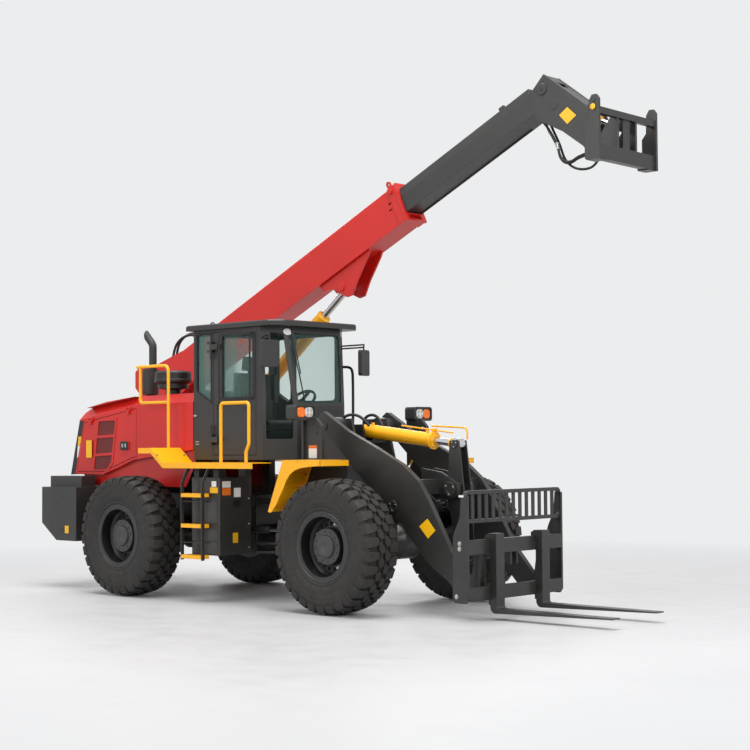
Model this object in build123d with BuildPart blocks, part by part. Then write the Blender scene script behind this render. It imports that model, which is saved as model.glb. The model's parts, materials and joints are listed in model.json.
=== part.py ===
"""Articulated machine that is a wheel loader with pallet forks in front and a telescopic
handler boom beside its cab.

Millimetres. +X is forward, +Y is the machine's left and +Z is up. Every piece is drawn from the
rear axle's line on the floor, on the centre line, and is moved once, when it is written, so that
the part's origin lies under the middle of its box.
"""
import os
from math import atan2, cos, degrees, hypot, radians, sin

from build123d import *

os.makedirs("parts", exist_ok=True)

# ---------------------------------------------------------------- driving dimensions
# running gear
wheel_base = 3227
track = 1994
tyre_radius = 675
tyre_width = 445
lug_count = 30
lug_depth = 32
lug_width = 74
rim_seat_radius = 322
rim_flange_radius = 356
rim_width = 392
hub_radius = 186
hub_reach = 108
axle_height = tyre_radius
axle_tube_radius = 98
stub_radius = 60

# frames and the pivot between them
pivot_x = wheel_base / 2
frame_half_width = 290
frame_plate = 30
ear_radius = 125
king_pin_radius = 40
pivot_gap = 6

# fits
pin_clearance = 0.05
face_clearance = 5
seat_gap = 0.3
pad_clearance = 0.1

# counterweight and hood
weight_rear_x = -1730
weight_front_x = -1030
weight_half_width = 1000
weight_low_z = 567
weight_top_z = 1200
hood_front_x = 655
hood_half_width = 640
hood_top_z = 2285
hood_skin = 12
skirt_y = 588
shoulder_lean = 85

# cab
cab_rear_x = 670
cab_pillar_x = 1795
cab_nose_x = 2045
cab_half_width = 640
cab_nose_half = 360
cab_floor_z = 1525
cab_sill_z = 2115
cab_top_z = 2975
cab_wall = 45
roof_thickness = 62
door_rear_x = 1000
door_front_x = 1695
door_gap = 6
door_hinge = (1000, -668)
door_hinge_heights = (1750, 2780)
door_pin_radius = 9

# platforms and tanks
deck_z = 1500
deck_front_x = 2100
deck_outer_y = 1080
deck_skirt = 62
deck_sheet = 8
tank_outer_y = 1030
tank_inner_y = 560

# loader arms and forks
arm_y = 500
arm_thickness = 60
arm_root = (wheel_base - 607, 1880)
arm_tip = (wheel_base + 1333, 235)
arm_pin_radius = 45
lift_foot = (wheel_base - 1027, 850)
lift_eye = (wheel_base + 353, 1062)
lift_cylinder_y = 395
crank_pivot = (wheel_base + 773, 1230)
crank_top = (wheel_base + 773, 1684)
crank_foot = (wheel_base + 871, 537)
link_head = (wheel_base + 1318, 595)
tilt_foot = (wheel_base - 557, 1840)
carriage_half_width = 760
carriage_top_z = 1240
fork_y = 365
fork_width = 125
rail_front_x = wheel_base + 1508
fork_heel_x = rail_front_x + 80
fork_tip_x = rail_front_x + 1395
fork_thickness = 48

# telescopic boom
boom_y = 880
boom_pivot = (-1860, 2500)
boom_angle = 25
boom_width = 300
boom_wall = 12
boom_top = 48
boom_bottom = -397
boom_start = 780
boom_end = 4790
inner_width = 270
inner_top = -12
inner_bottom = -312
inner_wall = 10
shoulder_in = 28
shoulder_down = 100
inner_start = 2750
inner_end = 6850
pedestal_rear_x = -2030
boom_lift_foot = (-700, 1670)
boom_lift_eye = (1640, 3500)
boom_lug_half = 92
head_pivot = (5220, 4620)
head_ram_foot = (4700, 5160)
head_ram_eye = (5380, 4860)
head_half_width = 140
head_plate = 20
carrier_half_width = 525
carrier_front_x = 5520
carrier_top_z = 5090
carrier_low_z = 4454

# steering cylinders, one each side of the pivot
steer_z = 760
steer_foot = (pivot_x - 560, 430)
steer_eye = (pivot_x + 330, 380)
steer_eye_half = 25
steer_pin_radius = 20
steer_lug_radius = 34

# the part's origin, under the middle of its box
origin_x = (fork_tip_x + pedestal_rear_x) / 2
origin_y = (boom_y + carrier_half_width - (track + tyre_width) / 2) / 2


# ---------------------------------------------------------------- helpers
def side_frame(y, origin=(0, 0), angle=0):
    """A sketching plane that faces right: local x runs forward, at a slope, and local y up."""
    slope = radians(angle)
    return Plane(
        origin=(origin[0], y, origin[1]), x_dir=(cos(slope), 0, sin(slope)), z_dir=(0, -1, 0)
    )


def plate(outline, y_low, y_high, origin=(0, 0), angle=0, radius=0, mode=Mode.ADD):
    """A flat plate between two widths, with its outline seen from the right."""
    with BuildSketch(side_frame(y_high, origin, angle)) as shape:
        with BuildLine():
            Polyline(*outline, close=True)
        make_face()
        if radius:
            fillet(shape.vertices(), radius)
    extrude(shape.sketch, amount=y_high - y_low, mode=mode)


def pin(centre, y_low, y_high, radius, mode=Mode.ADD):
    """A round bar across the machine, or its hole."""
    with BuildSketch(side_frame(y_high)) as shape:
        with Locations(centre):
            Circle(radius)
    extrude(shape.sketch, amount=y_high - y_low, mode=mode)


def block(x_low, x_high, y_low, y_high, z_low, z_high, mode=Mode.ADD):
    """A box given by its six faces."""
    with BuildSketch(Plane.XY.offset(z_low)) as shape:
        with Locations(((x_low + x_high) / 2, (y_low + y_high) / 2)):
            Rectangle(x_high - x_low, y_high - y_low)
    extrude(shape.sketch, amount=z_high - z_low, mode=mode)


def rod(start, end, radius, mode=Mode.ADD):
    """A round bar from one point to another."""
    run = Vector(*end) - Vector(*start)
    with BuildSketch(Plane(origin=start, z_dir=run)) as shape:
        Circle(radius)
    extrude(shape.sketch, amount=run.length, mode=mode)


def ram_frame(foot, head, pin_axis):
    """The plane of a cylinder: local x from its foot pin to its rod pin, normal along the pins."""
    return Plane(origin=foot, x_dir=Vector(*head) - Vector(*foot), z_dir=pin_axis)


def ram_eye(frame, reach, eye_radius, eye_width, hole_radius):
    """The bored eye of a cylinder or a rod, at some reach along it."""
    with BuildSketch(frame) as eye:
        with Locations((reach, 0)):
            Circle(eye_radius)
    extrude(eye.sketch, amount=eye_width / 2, both=True)
    if hole_radius:
        with BuildSketch(frame) as hole:
            with Locations((reach, 0)):
                Circle(hole_radius)
        extrude(hole.sketch, amount=eye_width, both=True, mode=Mode.SUBTRACT)


def ram_bar(frame, start, end, radius, mode=Mode.ADD):
    """A round length of a cylinder or rod, measured from its foot pin."""
    place = frame.origin + frame.x_dir * start
    with BuildSketch(Plane(origin=place, z_dir=frame.x_dir)) as shape:
        Circle(radius)
    extrude(shape.sketch, amount=end - start, mode=mode)


def ram_point(frame, reach, rise):
    """A point beside a cylinder: so far along it from its foot pin, and so far above it."""
    return frame.origin + frame.x_dir * reach - frame.y_dir * rise


def tube(points, bend, radius, mode=Mode.ADD):
    """A round tube along straight runs, with the same bend radius at each corner."""
    with BuildLine() as route:
        FilletPolyline(*points, radius=bend)
    with BuildSketch(Plane(origin=points[0], z_dir=route.line % 0)) as shape:
        Circle(radius)
    sweep(shape.sketch, path=route.line, mode=mode)


def strip(line, depth):
    """The outline of a bent sheet of this depth, laid under a line of points."""
    under = []
    for number, (x, z) in enumerate(line):
        before = line[max(number - 1, 0)]
        after = line[min(number + 1, len(line) - 1)]
        run, rise = after[0] - before[0], after[1] - before[1]
        reach = hypot(run, rise)
        under.append((x + depth * rise / reach, z - depth * run / reach))
    return line + under[::-1]


def both_sides(inner, outer):
    """The same stretch across the machine on its right side and then on its left."""
    return (-outer, -inner), (inner, outer)


def ahead(outline):
    """An outline of the front half, given from the front axle's line."""
    return [(wheel_base + x, z) for x, z in outline]


def length_between(first, second):
    return hypot(second[0] - first[0], second[1] - first[1])


pieces = {}


# ---------------------------------------------------------------- wheels
half_tyre = tyre_width / 2
half_rim = rim_width / 2
casing_radius = tyre_radius - lug_depth
lug_top = (tyre_radius**2 - (lug_width / 2) ** 2) ** 0.5
lug_phase = degrees(atan2(lug_width / 2, lug_top))
disc_inner = 18
disc_outer = 42
stub_length = 90

# one tyre and one rim, drawn with the outer face to +Y
across = Plane(origin=(0, 0, 0), x_dir=(0, 1, 0), z_dir=(1, 0, 0))
with BuildPart() as tyre:
    with BuildSketch(across):
        with BuildLine():
            Polyline(
                (-half_rim + 16, rim_seat_radius + seat_gap),
                (-half_rim + 16, rim_flange_radius + 8),
                (-half_tyre, 480),
                (-half_tyre + 6, 590),
                (-half_tyre + 60, casing_radius),
                (half_tyre - 60, casing_radius),
                (half_tyre - 6, 590),
                (half_tyre, 480),
                (half_rim - 16, rim_flange_radius + 8),
                (half_rim - 16, rim_seat_radius + seat_gap),
                close=True,
            )
        make_face()
    revolve(axis=Axis.Y)
    # two rows of lugs half a pitch apart, each from near the middle out over the shoulder
    for row, turn in ((-1, 0), (1, 180 / lug_count)):
        with BuildPart(mode=Mode.PRIVATE) as lug:
            with BuildSketch(Plane(origin=(0, 0, 0), x_dir=(0, row, 0), z_dir=(row, 0, 0))):
                with BuildLine():
                    Polyline(
                        (22, casing_radius - 25),
                        (22, lug_top),
                        (half_tyre - 58, lug_top),
                        (half_tyre - 4, lug_top - 50),
                        (half_tyre, 588),
                        (half_tyre - 45, 588),
                        (half_tyre - 85, casing_radius - 25),
                        close=True,
                    )
                make_face()
            extrude(amount=lug_width / 2, both=True)
        for count in range(lug_count):
            add(lug.part.rotate(Axis.Y, lug_phase + turn + 360 / lug_count * count))

with BuildPart() as rim:
    with BuildSketch(across):
        with BuildLine():
            Polyline(
                (-half_rim, rim_seat_radius - 22),
                (-half_rim, rim_flange_radius),
                (-half_rim + 12, rim_flange_radius),
                (-half_rim + 15, rim_seat_radius),
                (half_rim - 15, rim_seat_radius),
                (half_rim - 12, rim_flange_radius),
                (half_rim, rim_flange_radius),
                (half_rim, rim_seat_radius - 22),
                (disc_outer + 30, rim_seat_radius - 30),
                (disc_outer, rim_seat_radius - 60),
                (disc_outer, hub_radius),
                (hub_reach, hub_radius - 8),
                (hub_reach + 22, hub_radius * 0.6),
                (hub_reach + 22, 0),
                (disc_inner, 0),
                (disc_inner, rim_seat_radius - 30),
                (-half_rim + 30, rim_seat_radius - 22),
                close=True,
            )
        make_face()
    revolve(axis=Axis.Y)
    with BuildSketch(Plane(origin=(0, disc_inner, 0), z_dir=(0, 1, 0))):
        Circle(stub_radius + pin_clearance)
    extrude(amount=stub_length - disc_inner + 2, mode=Mode.SUBTRACT)

# name, axle x, side (+1 left, -1 right)
wheels = [
    ("rear_left", 0, 1),
    ("rear_right", 0, -1),
    ("front_left", wheel_base, 1),
    ("front_right", wheel_base, -1),
]
for name, wheel_x, side in wheels:
    place = Location((wheel_x, side * track / 2, axle_height), (0, 0, 90 - 90 * side))
    pieces["tyre_" + name] = tyre.part.moved(place)
    pieces["rim_" + name] = rim.part.moved(place)

# ---------------------------------------------------------------- axles
axle_end = track / 2 + disc_inner - face_clearance
saddle_top_z = 880
for name, axle_x, nose in [("rear_axle", 0, 1), ("front_axle", wheel_base, -1)]:
    with BuildPart() as axle:
        # one half of the housing's outline, turned about the wheels' axis
        with BuildSketch(Plane(origin=(axle_x, 0, axle_height), x_dir=(0, 1, 0), z_dir=(1, 0, 0))):
            with BuildLine():
                Polyline(
                    (-axle_end, 0),
                    (-axle_end, 150),
                    (-axle_end + 150, 150),
                    (-axle_end + 190, axle_tube_radius),
                    (-240, axle_tube_radius + 12),
                    (-130, 185),
                    (130, 185),
                    (240, axle_tube_radius + 12),
                    (axle_end - 190, axle_tube_radius),
                    (axle_end - 150, 150),
                    (axle_end, 150),
                    (axle_end, 0),
                    close=True,
                )
            make_face()
        revolve(axis=Axis((axle_x, 0, axle_height), (0, 1, 0)))
        rod((axle_x, -axle_end, axle_height), (axle_x, -track / 2 - stub_length, axle_height), stub_radius)
        rod((axle_x, axle_end, axle_height), (axle_x, track / 2 + stub_length, axle_height), stub_radius)
        rod((axle_x, 0, axle_height), (axle_x + nose * 300, 0, axle_height), 85)
        for side in (-1, 1):
            saddle_y = side * (frame_half_width - frame_plate / 2)
            block(axle_x - 130, axle_x + 130, saddle_y - 60, saddle_y + 60, axle_height, saddle_top_z)
    pieces[name] = axle

# ---------------------------------------------------------------- rear frame
tail_x = weight_rear_x + 230
rear_end_x = pivot_x - 300
ear_levels = [(480, 512), (578, 610), (1000, 1032), (1098, 1130)]
frame_top_z = 1130
frame_low_z = 560

with BuildPart() as rear_frame:
    for side in (-1, 1):
        inner = frame_half_width - frame_plate
        low, high = sorted((side * inner, side * frame_half_width))
        plate(
            [
                (tail_x, 640),
                (-330, 640),
                (-200, saddle_top_z),
                (200, saddle_top_z),
                (330, 600),
                (rear_end_x - 200, frame_low_z),
                (rear_end_x - 90, ear_levels[0][0]),
                (rear_end_x, ear_levels[0][0]),
                (rear_end_x, frame_top_z),
                (tail_x, frame_top_z),
            ],
            low,
            high,
        )
    # cross plates that join the two sides
    for x_low, z_low in [(tail_x, 640), (360, 780)]:
        block(x_low, x_low + 25, -inner, inner, z_low, frame_top_z - 60)
    block(rear_end_x - 25, rear_end_x, -inner, inner, 800, frame_top_z)
    block(rear_end_x - 25, rear_end_x, -inner, inner, ear_levels[0][0], 560)
    # hinge ears, in two pairs round the front frame's tongues
    for z_low, z_high in ear_levels:
        with BuildSketch(Plane.XY.offset(z_low)):
            with BuildLine():
                Polyline(
                    (rear_end_x - 20, -frame_half_width),
                    (rear_end_x, -frame_half_width),
                    (pivot_x, -ear_radius),
                    (pivot_x, ear_radius),
                    (rear_end_x, frame_half_width),
                    (rear_end_x - 20, frame_half_width),
                    close=True,
                )
            make_face()
            with Locations((pivot_x, 0)):
                Circle(ear_radius)
        extrude(amount=z_high - z_low)
    for low_pair, high_pair in [(ear_levels[0], ear_levels[1]), (ear_levels[2], ear_levels[3])]:
        with BuildSketch(Plane.XY.offset(low_pair[0])):
            with Locations((pivot_x, 0)):
                Circle(king_pin_radius)
        extrude(amount=high_pair[1] - low_pair[0])
    # cab stools, under the floor's four corners
    for x in (cab_rear_x + 90, rear_end_x - 130):
        for side in (-1, 1):
            low, high = sorted((side * (frame_half_width - frame_plate), side * 430))
            block(x, x + 110, low, high, frame_top_z - 130, frame_top_z)
            low, high = sorted((side * 340, side * 430))
            block(x, x + 110, low, high, frame_top_z, cab_floor_z)
    # bearers that reach out to the hood's skirts
    for x, z in ((-1050, 1300), (480, 1560)):
        for side in (-1, 1):
            low, high = sorted((side * inner, side * frame_half_width))
            block(x, x + 90, low, high, frame_top_z, z + 40)
            low, high = sorted((side * frame_half_width, side * (skirt_y - 8 - seat_gap)))
            block(x, x + 90, low, high, z, z + 40)
    # lugs and pins for the steering cylinders
    for side in (-1, 1):
        low, high = sorted((side * frame_half_width, side * (steer_foot[1] + 40)))
        for z_low in (
            steer_z - steer_eye_half - face_clearance - 20,
            steer_z + steer_eye_half + face_clearance,
        ):
            block(steer_foot[0] - 40, steer_foot[0] + 40, low, high, z_low, z_low + 20)
        rod(
            (steer_foot[0], side * steer_foot[1], steer_z - 50),
            (steer_foot[0], side * steer_foot[1], steer_z + 50),
            steer_pin_radius,
        )
    # towing hitch
    block(weight_rear_x + 60, tail_x, -90, 90, 690, 720)
    block(weight_rear_x + 60, tail_x, -90, 90, 800, 830)
    with BuildSketch(Plane.XY.offset(690)):
        with Locations((weight_rear_x + 120, 0)):
            Circle(26)
    extrude(amount=140, mode=Mode.SUBTRACT)
pieces["rear_frame"] = rear_frame

# ---------------------------------------------------------------- counterweight
weight_bar_x = weight_rear_x + 230
with BuildPart() as counterweight:
    with BuildSketch(Plane.XY.offset(weight_low_z)):
        with BuildLine():
            Polyline(
                (weight_rear_x, -weight_half_width),
                (weight_front_x, -weight_half_width),
                (weight_front_x, -hood_half_width - 20),
                (weight_bar_x - seat_gap, -hood_half_width - 20),
                (weight_bar_x - seat_gap, hood_half_width + 20),
                (weight_front_x, hood_half_width + 20),
                (weight_front_x, weight_half_width),
                (weight_rear_x, weight_half_width),
                close=True,
            )
        make_face()
    extrude(amount=weight_top_z - weight_low_z)
    # the underside slopes up to the tail
    plate(
        [
            (weight_rear_x - 10, weight_low_z - 10),
            (weight_rear_x + 325, weight_low_z - 10),
            (weight_rear_x - 10, weight_low_z + 225),
        ],
        -weight_half_width - 10,
        weight_half_width + 10,
        mode=Mode.SUBTRACT,
    )
    # the hitch's pocket
    block(weight_rear_x - 10, weight_bar_x + 10, -140, 140, 660, 860, mode=Mode.SUBTRACT)
    upright = counterweight.edges().filter_by(Axis.Z).group_by(Axis.X)[0]
    fillet(upright, 30)
    # tail lamp boxes, the left one cut short by the boom's pedestal
    for side, box_front_x in ((-1, weight_front_x - 70), (1, weight_rear_x + 110)):
        low, high = sorted((side * (hood_half_width + 30), side * 870))
        block(weight_rear_x + 15, box_front_x, low, high, weight_top_z, weight_top_z + 130)
pieces["counterweight"] = counterweight

# ---------------------------------------------------------------- hood and grille
exhaust_place = (-620, -210)
muffler_radius = 98
cleaner_place = (15, -390)
neck_radius = 90
hood_tail_low = (-1533, 1350)
hood_tail_high = (-1358, 1995)
grille_depth = 92
grille_rise = 668
crease_line = ((-1640, 1975), (-330, 2166), (hood_front_x + 5, hood_top_z - 110))
top_line = ((-1640, 2105), (-330, 2272), (hood_front_x + 5, hood_top_z + 1))


side_opening = [
    (-1345, 1975),
    (-1500, 1405),
    (-1480, 1375),
    (-1010, 1375),
    (-700, 1462),
    (-420, 1550),
    (-354, 1552),
    (-354, 2128),
]
side_hinge_drop = 3
side_hinge_y = -hood_half_width - 12
side_slope = degrees(
    atan2(side_opening[-1][1] - side_opening[0][1], side_opening[-1][0] - side_opening[0][0])
)
side_hinge_reach = (130, 860)
side_pin_radius = 5


def hood_profile():
    """The hood seen from the right, without its tail grille."""
    return [
        hood_tail_low,
        (-1000, 1345),
        (-700, 1430),
        (-420, 1520),
        (hood_front_x, 1640),
        (hood_front_x, hood_top_z),
        (-330, 2270),
        (-915, 2215),
        (-1300, 2150),
        (-1400, 2090),
        (-1450, hood_tail_high[1]),
        hood_tail_high,
    ]


def shoulder_cut(place, side):
    """What the shoulder loses above its crease, as a sketch across the hood."""
    crease, top = crease_line[place], top_line[place]
    with BuildSketch(Plane.YZ.offset(crease[0])) as shape:
        with BuildLine():
            Polyline(
                (side * (hood_half_width + 1), crease[1]),
                (side * (hood_half_width - shoulder_lean), top[1]),
                (side * (hood_half_width + 1), top[1]),
                close=True,
            )
        make_face()
    return shape.sketch


with BuildPart() as hood:
    plate(hood_profile(), -hood_half_width, hood_half_width)
    for side in (-1, 1):
        for place in (0, 1):
            loft([shoulder_cut(place, side), shoulder_cut(place + 1, side)], ruled=True, mode=Mode.SUBTRACT)
    # open underneath and towards the cab
    inner_half = hood_half_width - hood_skin
    plate(
        [
            (hood_tail_low[0] + 30, 1300),
            (hood_front_x - 30, 1300),
            (hood_front_x - 30, hood_top_z - 130),
            (-915, 2080),
            (-1310, 1960),
        ],
        -inner_half,
        inner_half,
        mode=Mode.SUBTRACT,
    )
    # skirts set in behind the wheels, hung from a ledge under each side
    skirt = [
        (-1420, 1212), (-1420, 1400), (-1000, 1400), (-700, 1520),
        (635, 1670), (635, 1480), (470, 1212),
    ]
    ledge = [
        (-1420, 1346), (-1000, 1346), (-700, 1431), (-420, 1521),
        (635, 1641), (635, 1655), (-420, 1535),
    ]
    ledge += [(-700, 1445), (-1000, 1360), (-1420, 1360)]
    for low, high in both_sides(skirt_y - 8, skirt_y):
        plate(skirt, low, high)
    for low, high in both_sides(skirt_y - 1, inner_half + 1):
        plate(ledge, low, high)
    # the right side opens, with the door's hinge brackets along its top
    plate(side_opening, -hood_half_width - 1, -inner_half + 1, mode=Mode.SUBTRACT)
    door_frame = side_frame(side_hinge_y, side_opening[0], side_slope)
    for reach in side_hinge_reach:
        start = door_frame.from_local_coords((reach - 45, -side_hinge_drop, 0))
        end = door_frame.from_local_coords((reach + 45, -side_hinge_drop, 0))
        rod(start, end, side_pin_radius)
        for near in (reach - 45, reach + 21):
            slope = dict(origin=side_opening[0], angle=side_slope)
            foot = [(near, 0), (near + 24, 0), (near + 24, 30), (near, 30)]
            eye = [(near, -12), (near + 24, -12), (near + 24, 6), (near, 6)]
            plate(foot, side_hinge_y - 9, 1 - hood_half_width, **slope)
            plate(eye, side_hinge_y - 9, side_hinge_y + 7, **slope)
    # holes for the exhaust and for the air cleaner's neck
    rod((*exhaust_place, 1900), (*exhaust_place, 2400), muffler_radius + 6, mode=Mode.SUBTRACT)
    rod((*cleaner_place, 1900), (*cleaner_place, 2400), neck_radius + seat_gap, mode=Mode.SUBTRACT)
pieces["hood"] = hood

# the side door: a flat sheet with three meshed vents in a raised frame, and a paddle latch
vents = [
    [(-1062, 1982), (-745, 1990), (-770, 1826), (-1090, 1812)],
    [(-1096, 1780), (-778, 1792), (-802, 1612), (-1126, 1594)],
    [(-1130, 1562), (-806, 1578), (-822, 1502), (-900, 1410), (-1160, 1404)],
]
vent_frame = [(-1080, 2004), (-712, 2030), (-790, 1480), (-880, 1392), (-1205, 1392), (-1150, 1800)]
with BuildPart() as hood_door:
    with BuildSketch(side_frame(-inner_half)) as sheet:
        with BuildLine():
            Polyline(*side_opening, close=True)
        make_face()
        offset(amount=-door_gap, kind=Kind.INTERSECTION)
    extrude(sheet.sketch, amount=hood_skin)
    plate(vent_frame, -hood_half_width - 6, -hood_half_width, radius=14)
    for vent in vents:
        plate(vent, -hood_half_width - 7, -hood_half_width + hood_skin - 4, radius=10, mode=Mode.SUBTRACT)
    block(-645, -480, -hood_half_width - 14, -hood_half_width + 1, 1640, 1740)
    block(-625, -500, -hood_half_width - 15, -hood_half_width - 6, 1655, 1712, mode=Mode.SUBTRACT)
    for reach in side_hinge_reach:
        start = door_frame.from_local_coords((reach - 17, -side_hinge_drop, 0))
        end = door_frame.from_local_coords((reach + 17, -side_hinge_drop, 0))
        rod(start, end, 9)
        leaf = [(reach - 17, -50), (reach + 17, -50), (reach + 17, -6), (reach - 17, -6)]
        plate(leaf, side_hinge_y - 9, 1 - hood_half_width, origin=side_opening[0], angle=side_slope)
        start = door_frame.from_local_coords((reach - 18, -side_hinge_drop, 0))
        end = door_frame.from_local_coords((reach + 18, -side_hinge_drop, 0))
        rod(start, end, side_pin_radius + pin_clearance, mode=Mode.SUBTRACT)
pieces["hood_door"] = hood_door

# the tail grille: a deep frame with slanted louvres
grille_low = (hood_tail_low[0] - grille_depth, hood_tail_low[1] - 8)
grille_slope = degrees(atan2(hood_tail_high[1] - hood_tail_low[1], hood_tail_high[0] - hood_tail_low[0]))
grille_half = hood_half_width - 4
louvre_pitch = 48
with BuildPart() as rear_grille:
    plate(
        [
            (hood_tail_low[0] - 0.3, hood_tail_low[1]),
            (hood_tail_high[0] - 0.3, hood_tail_high[1] - 0.3),
            (hood_tail_high[0] - grille_depth, hood_tail_high[1] - 0.3),
            grille_low,
        ],
        -grille_half,
        grille_half,
    )
    pocket = [(55, -34), (grille_rise - 60, -34), (grille_rise - 60, 20), (55, 20)]
    plate(pocket, -540, 540, origin=grille_low, angle=grille_slope, mode=Mode.SUBTRACT)
    for count in range(11):
        reach = 75 + louvre_pitch * count
        louvre = [(reach, -35), (reach + 8, -35), (reach + 26, -6), (reach + 18, -6)]
        plate(louvre, -541, 541, origin=grille_low, angle=grille_slope)
    for y in (-182, 178):
        plate(
            [(54, -35), (grille_rise - 59, -35), (grille_rise - 59, -14), (54, -14)],
            y,
            y + 8,
            origin=grille_low,
            angle=grille_slope,
        )
pieces["rear_grille"] = rear_grille

with BuildPart() as engine_block:
    engine_half = frame_half_width - frame_plate - seat_gap
    block(-1150, -260, -engine_half, engine_half, 900, 1850)
pieces["engine_block"] = engine_block

with BuildPart() as transmission:
    block(480, 1150, -engine_half, engine_half, 600, 1060)
pieces["transmission"] = transmission

# propshafts: from the gearbox back to the rear axle, and forward through the pivot
shaft_radius = 42
flange_radius = 75
with BuildPart() as rear_shafts:
    for start, end in [(300 + seat_gap, 480 - seat_gap), (1150 + seat_gap, pivot_x)]:
        rod((start, 0, axle_height), (end, 0, axle_height), shaft_radius)
        rod((start, 0, axle_height), (start + 25, 0, axle_height), flange_radius)
    rod((pivot_x, 0, axle_height - 50), (pivot_x, 0, axle_height + 50), 50)
pieces["rear_shafts"] = rear_shafts

with BuildPart() as front_shaft:
    shaft_end = wheel_base - 300 - seat_gap
    rod((pivot_x + 62, 0, axle_height), (shaft_end, 0, axle_height), shaft_radius)
    rod((shaft_end - 25, 0, axle_height), (shaft_end, 0, axle_height), flange_radius)
pieces["front_shaft"] = front_shaft

# ---------------------------------------------------------------- platforms
with BuildPart() as platforms:
    deck_top = [(223, 1663), (440, 1663), (650, deck_z), (deck_front_x, deck_z)]
    deck_under = [(x, z - deck_sheet) for x, z in reversed(deck_top)]
    for low, high in both_sides(cab_half_width + 6, deck_outer_y):
        plate(deck_top + deck_under, low, high)
    # the front frame swings past the inner corner
    for side in (-1, 1):
        with BuildSketch(Plane.XY.offset(deck_z - deck_sheet - 1)):
            with BuildLine():
                Polyline(
                    (cab_pillar_x, side * (cab_half_width - 5)),
                    (deck_front_x + 5, side * (cab_half_width + 165)),
                    (deck_front_x + 5, side * (cab_half_width - 5)),
                    close=True,
                )
            make_face()
        extrude(amount=deck_sheet + 2, dir=(0, 0, 1), mode=Mode.SUBTRACT)
    skirt_under = [(x, z - deck_skirt) for x, z in reversed(deck_top)]
    for low, high in ((-deck_outer_y, deck_sheet - deck_outer_y), (deck_outer_y - deck_sheet, deck_outer_y)):
        plate(deck_top + skirt_under, low, high)
    for side in (-1, 1):
        # brackets down to the tank
        low, high = sorted((side * (tank_outer_y - 120), side * (tank_outer_y - 20)))
        block(1100, 1180, low, high, 1340, deck_z - deck_sheet)
        block(1420, 1500, low, high, 1340, deck_z - deck_sheet)
pieces["platforms"] = platforms

# ---------------------------------------------------------------- tanks
with BuildPart() as tanks:
    for side in (-1, 1):
        low, high = sorted((side * tank_inner_y, side * tank_outer_y))
        block(1075, 1530, low, high, 505, 1340)
        # cradle arms to the frame
        low, high = sorted((side * frame_half_width, side * tank_inner_y))
        block(1120, 1180, low, high, 620, 700)
        block(1240, 1300, low, high, 620, 700)
    fillet(tanks.edges().filter_by(Axis.Z).group_by(SortBy.LENGTH)[-1], 20)
pieces["tanks"] = tanks

# ---------------------------------------------------------------- ladder
ladder_rails_x = (1060, 1395)
ladder_out_y = -1125
tread_levels = (490, 822, 1150)
ladder_top_z = deck_z - deck_skirt - seat_gap
with BuildPart() as ladder:
    for x in ladder_rails_x:
        for low, high in ((ladder_out_y - 40, ladder_out_y),):
            block(x - 6, x + 6, low, high, 455, 1290)
        # the rail's head bends back under the platform
        with BuildSketch(Plane.YZ.offset(x - 6)):
            with BuildLine():
                Polyline(
                    (ladder_out_y, 1290),
                    (ladder_out_y - 40, 1290),
                    (-deck_outer_y, ladder_top_z),
                    (-deck_outer_y + 45, ladder_top_z),
                    close=True,
                )
            make_face()
        extrude(amount=12)
    # two bars hold the rails to the tank
    for z in (640, 1080):
        block(
            ladder_rails_x[0] + 20,
            ladder_rails_x[0] + 60,
            ladder_out_y - 30,
            -tank_outer_y - seat_gap,
            z,
            z + 8,
        )
        block(
            ladder_rails_x[1] - 60,
            ladder_rails_x[1] - 20,
            ladder_out_y - 30,
            -tank_outer_y - seat_gap,
            z,
            z + 8,
        )
        block(ladder_rails_x[0], ladder_rails_x[1], ladder_out_y - 30, ladder_out_y - 2, z, z + 8)
pieces["ladder"] = ladder

# each tread is a folded channel between the rails
with BuildPart() as ladder_treads:
    for z in tread_levels:
        tread_low = ladder_rails_x[0] + 6 + seat_gap
        tread_high = ladder_rails_x[1] - 6 - seat_gap
        block(tread_low, tread_high, ladder_out_y - 45, -tank_outer_y - 20, z - 20, z + 20)
        block(
            tread_low + 4,
            tread_high - 4,
            ladder_out_y - 41,
            -tank_outer_y - 24,
            z - 21,
            z + 14,
            mode=Mode.SUBTRACT,
        )
pieces["ladder_treads"] = ladder_treads

# ---------------------------------------------------------------- handrails
rail_radius = 18
rail_y = -760
outer_rail_y = -deck_outer_y + 30
with BuildPart() as handrails:
    # hood guard: a post, a top bar and a low bar
    tube([(370, rail_y, 1663), (370, rail_y, 2598), (-186, rail_y, 2598)], 70, rail_radius)
    tube([(-130, rail_y, 2610), (-130, rail_y, 2180), (370, rail_y, 2180)], 40, rail_radius)
    # gate bar out to the platform's edge
    left_rail = [
        (370, rail_y, 2180),
        (790, outer_rail_y, 2150),
        (830, outer_rail_y, 2090),
        (830, outer_rail_y, deck_z),
    ]
    tube(left_rail, 28, rail_radius)
    # the door's rail, a hoop whose free end turns in
    tube(
        [
            (1584, outer_rail_y, deck_z),
            (1584, outer_rail_y, 2136),
            (2022, outer_rail_y, 2136),
            (2022, outer_rail_y, 1700),
            (1977, outer_rail_y, 1615),
            (1977, outer_rail_y, deck_z),
        ],
        40,
        rail_radius,
    )
    # the left platform's rail
    right_rail = [
        (700, -outer_rail_y, deck_z),
        (700, -outer_rail_y, 1900),
        (1560, -outer_rail_y, 1900),
        (1560, -outer_rail_y, deck_z),
    ]
    tube(right_rail, 60, rail_radius)
pieces["handrails"] = handrails

# ---------------------------------------------------------------- cab

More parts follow.
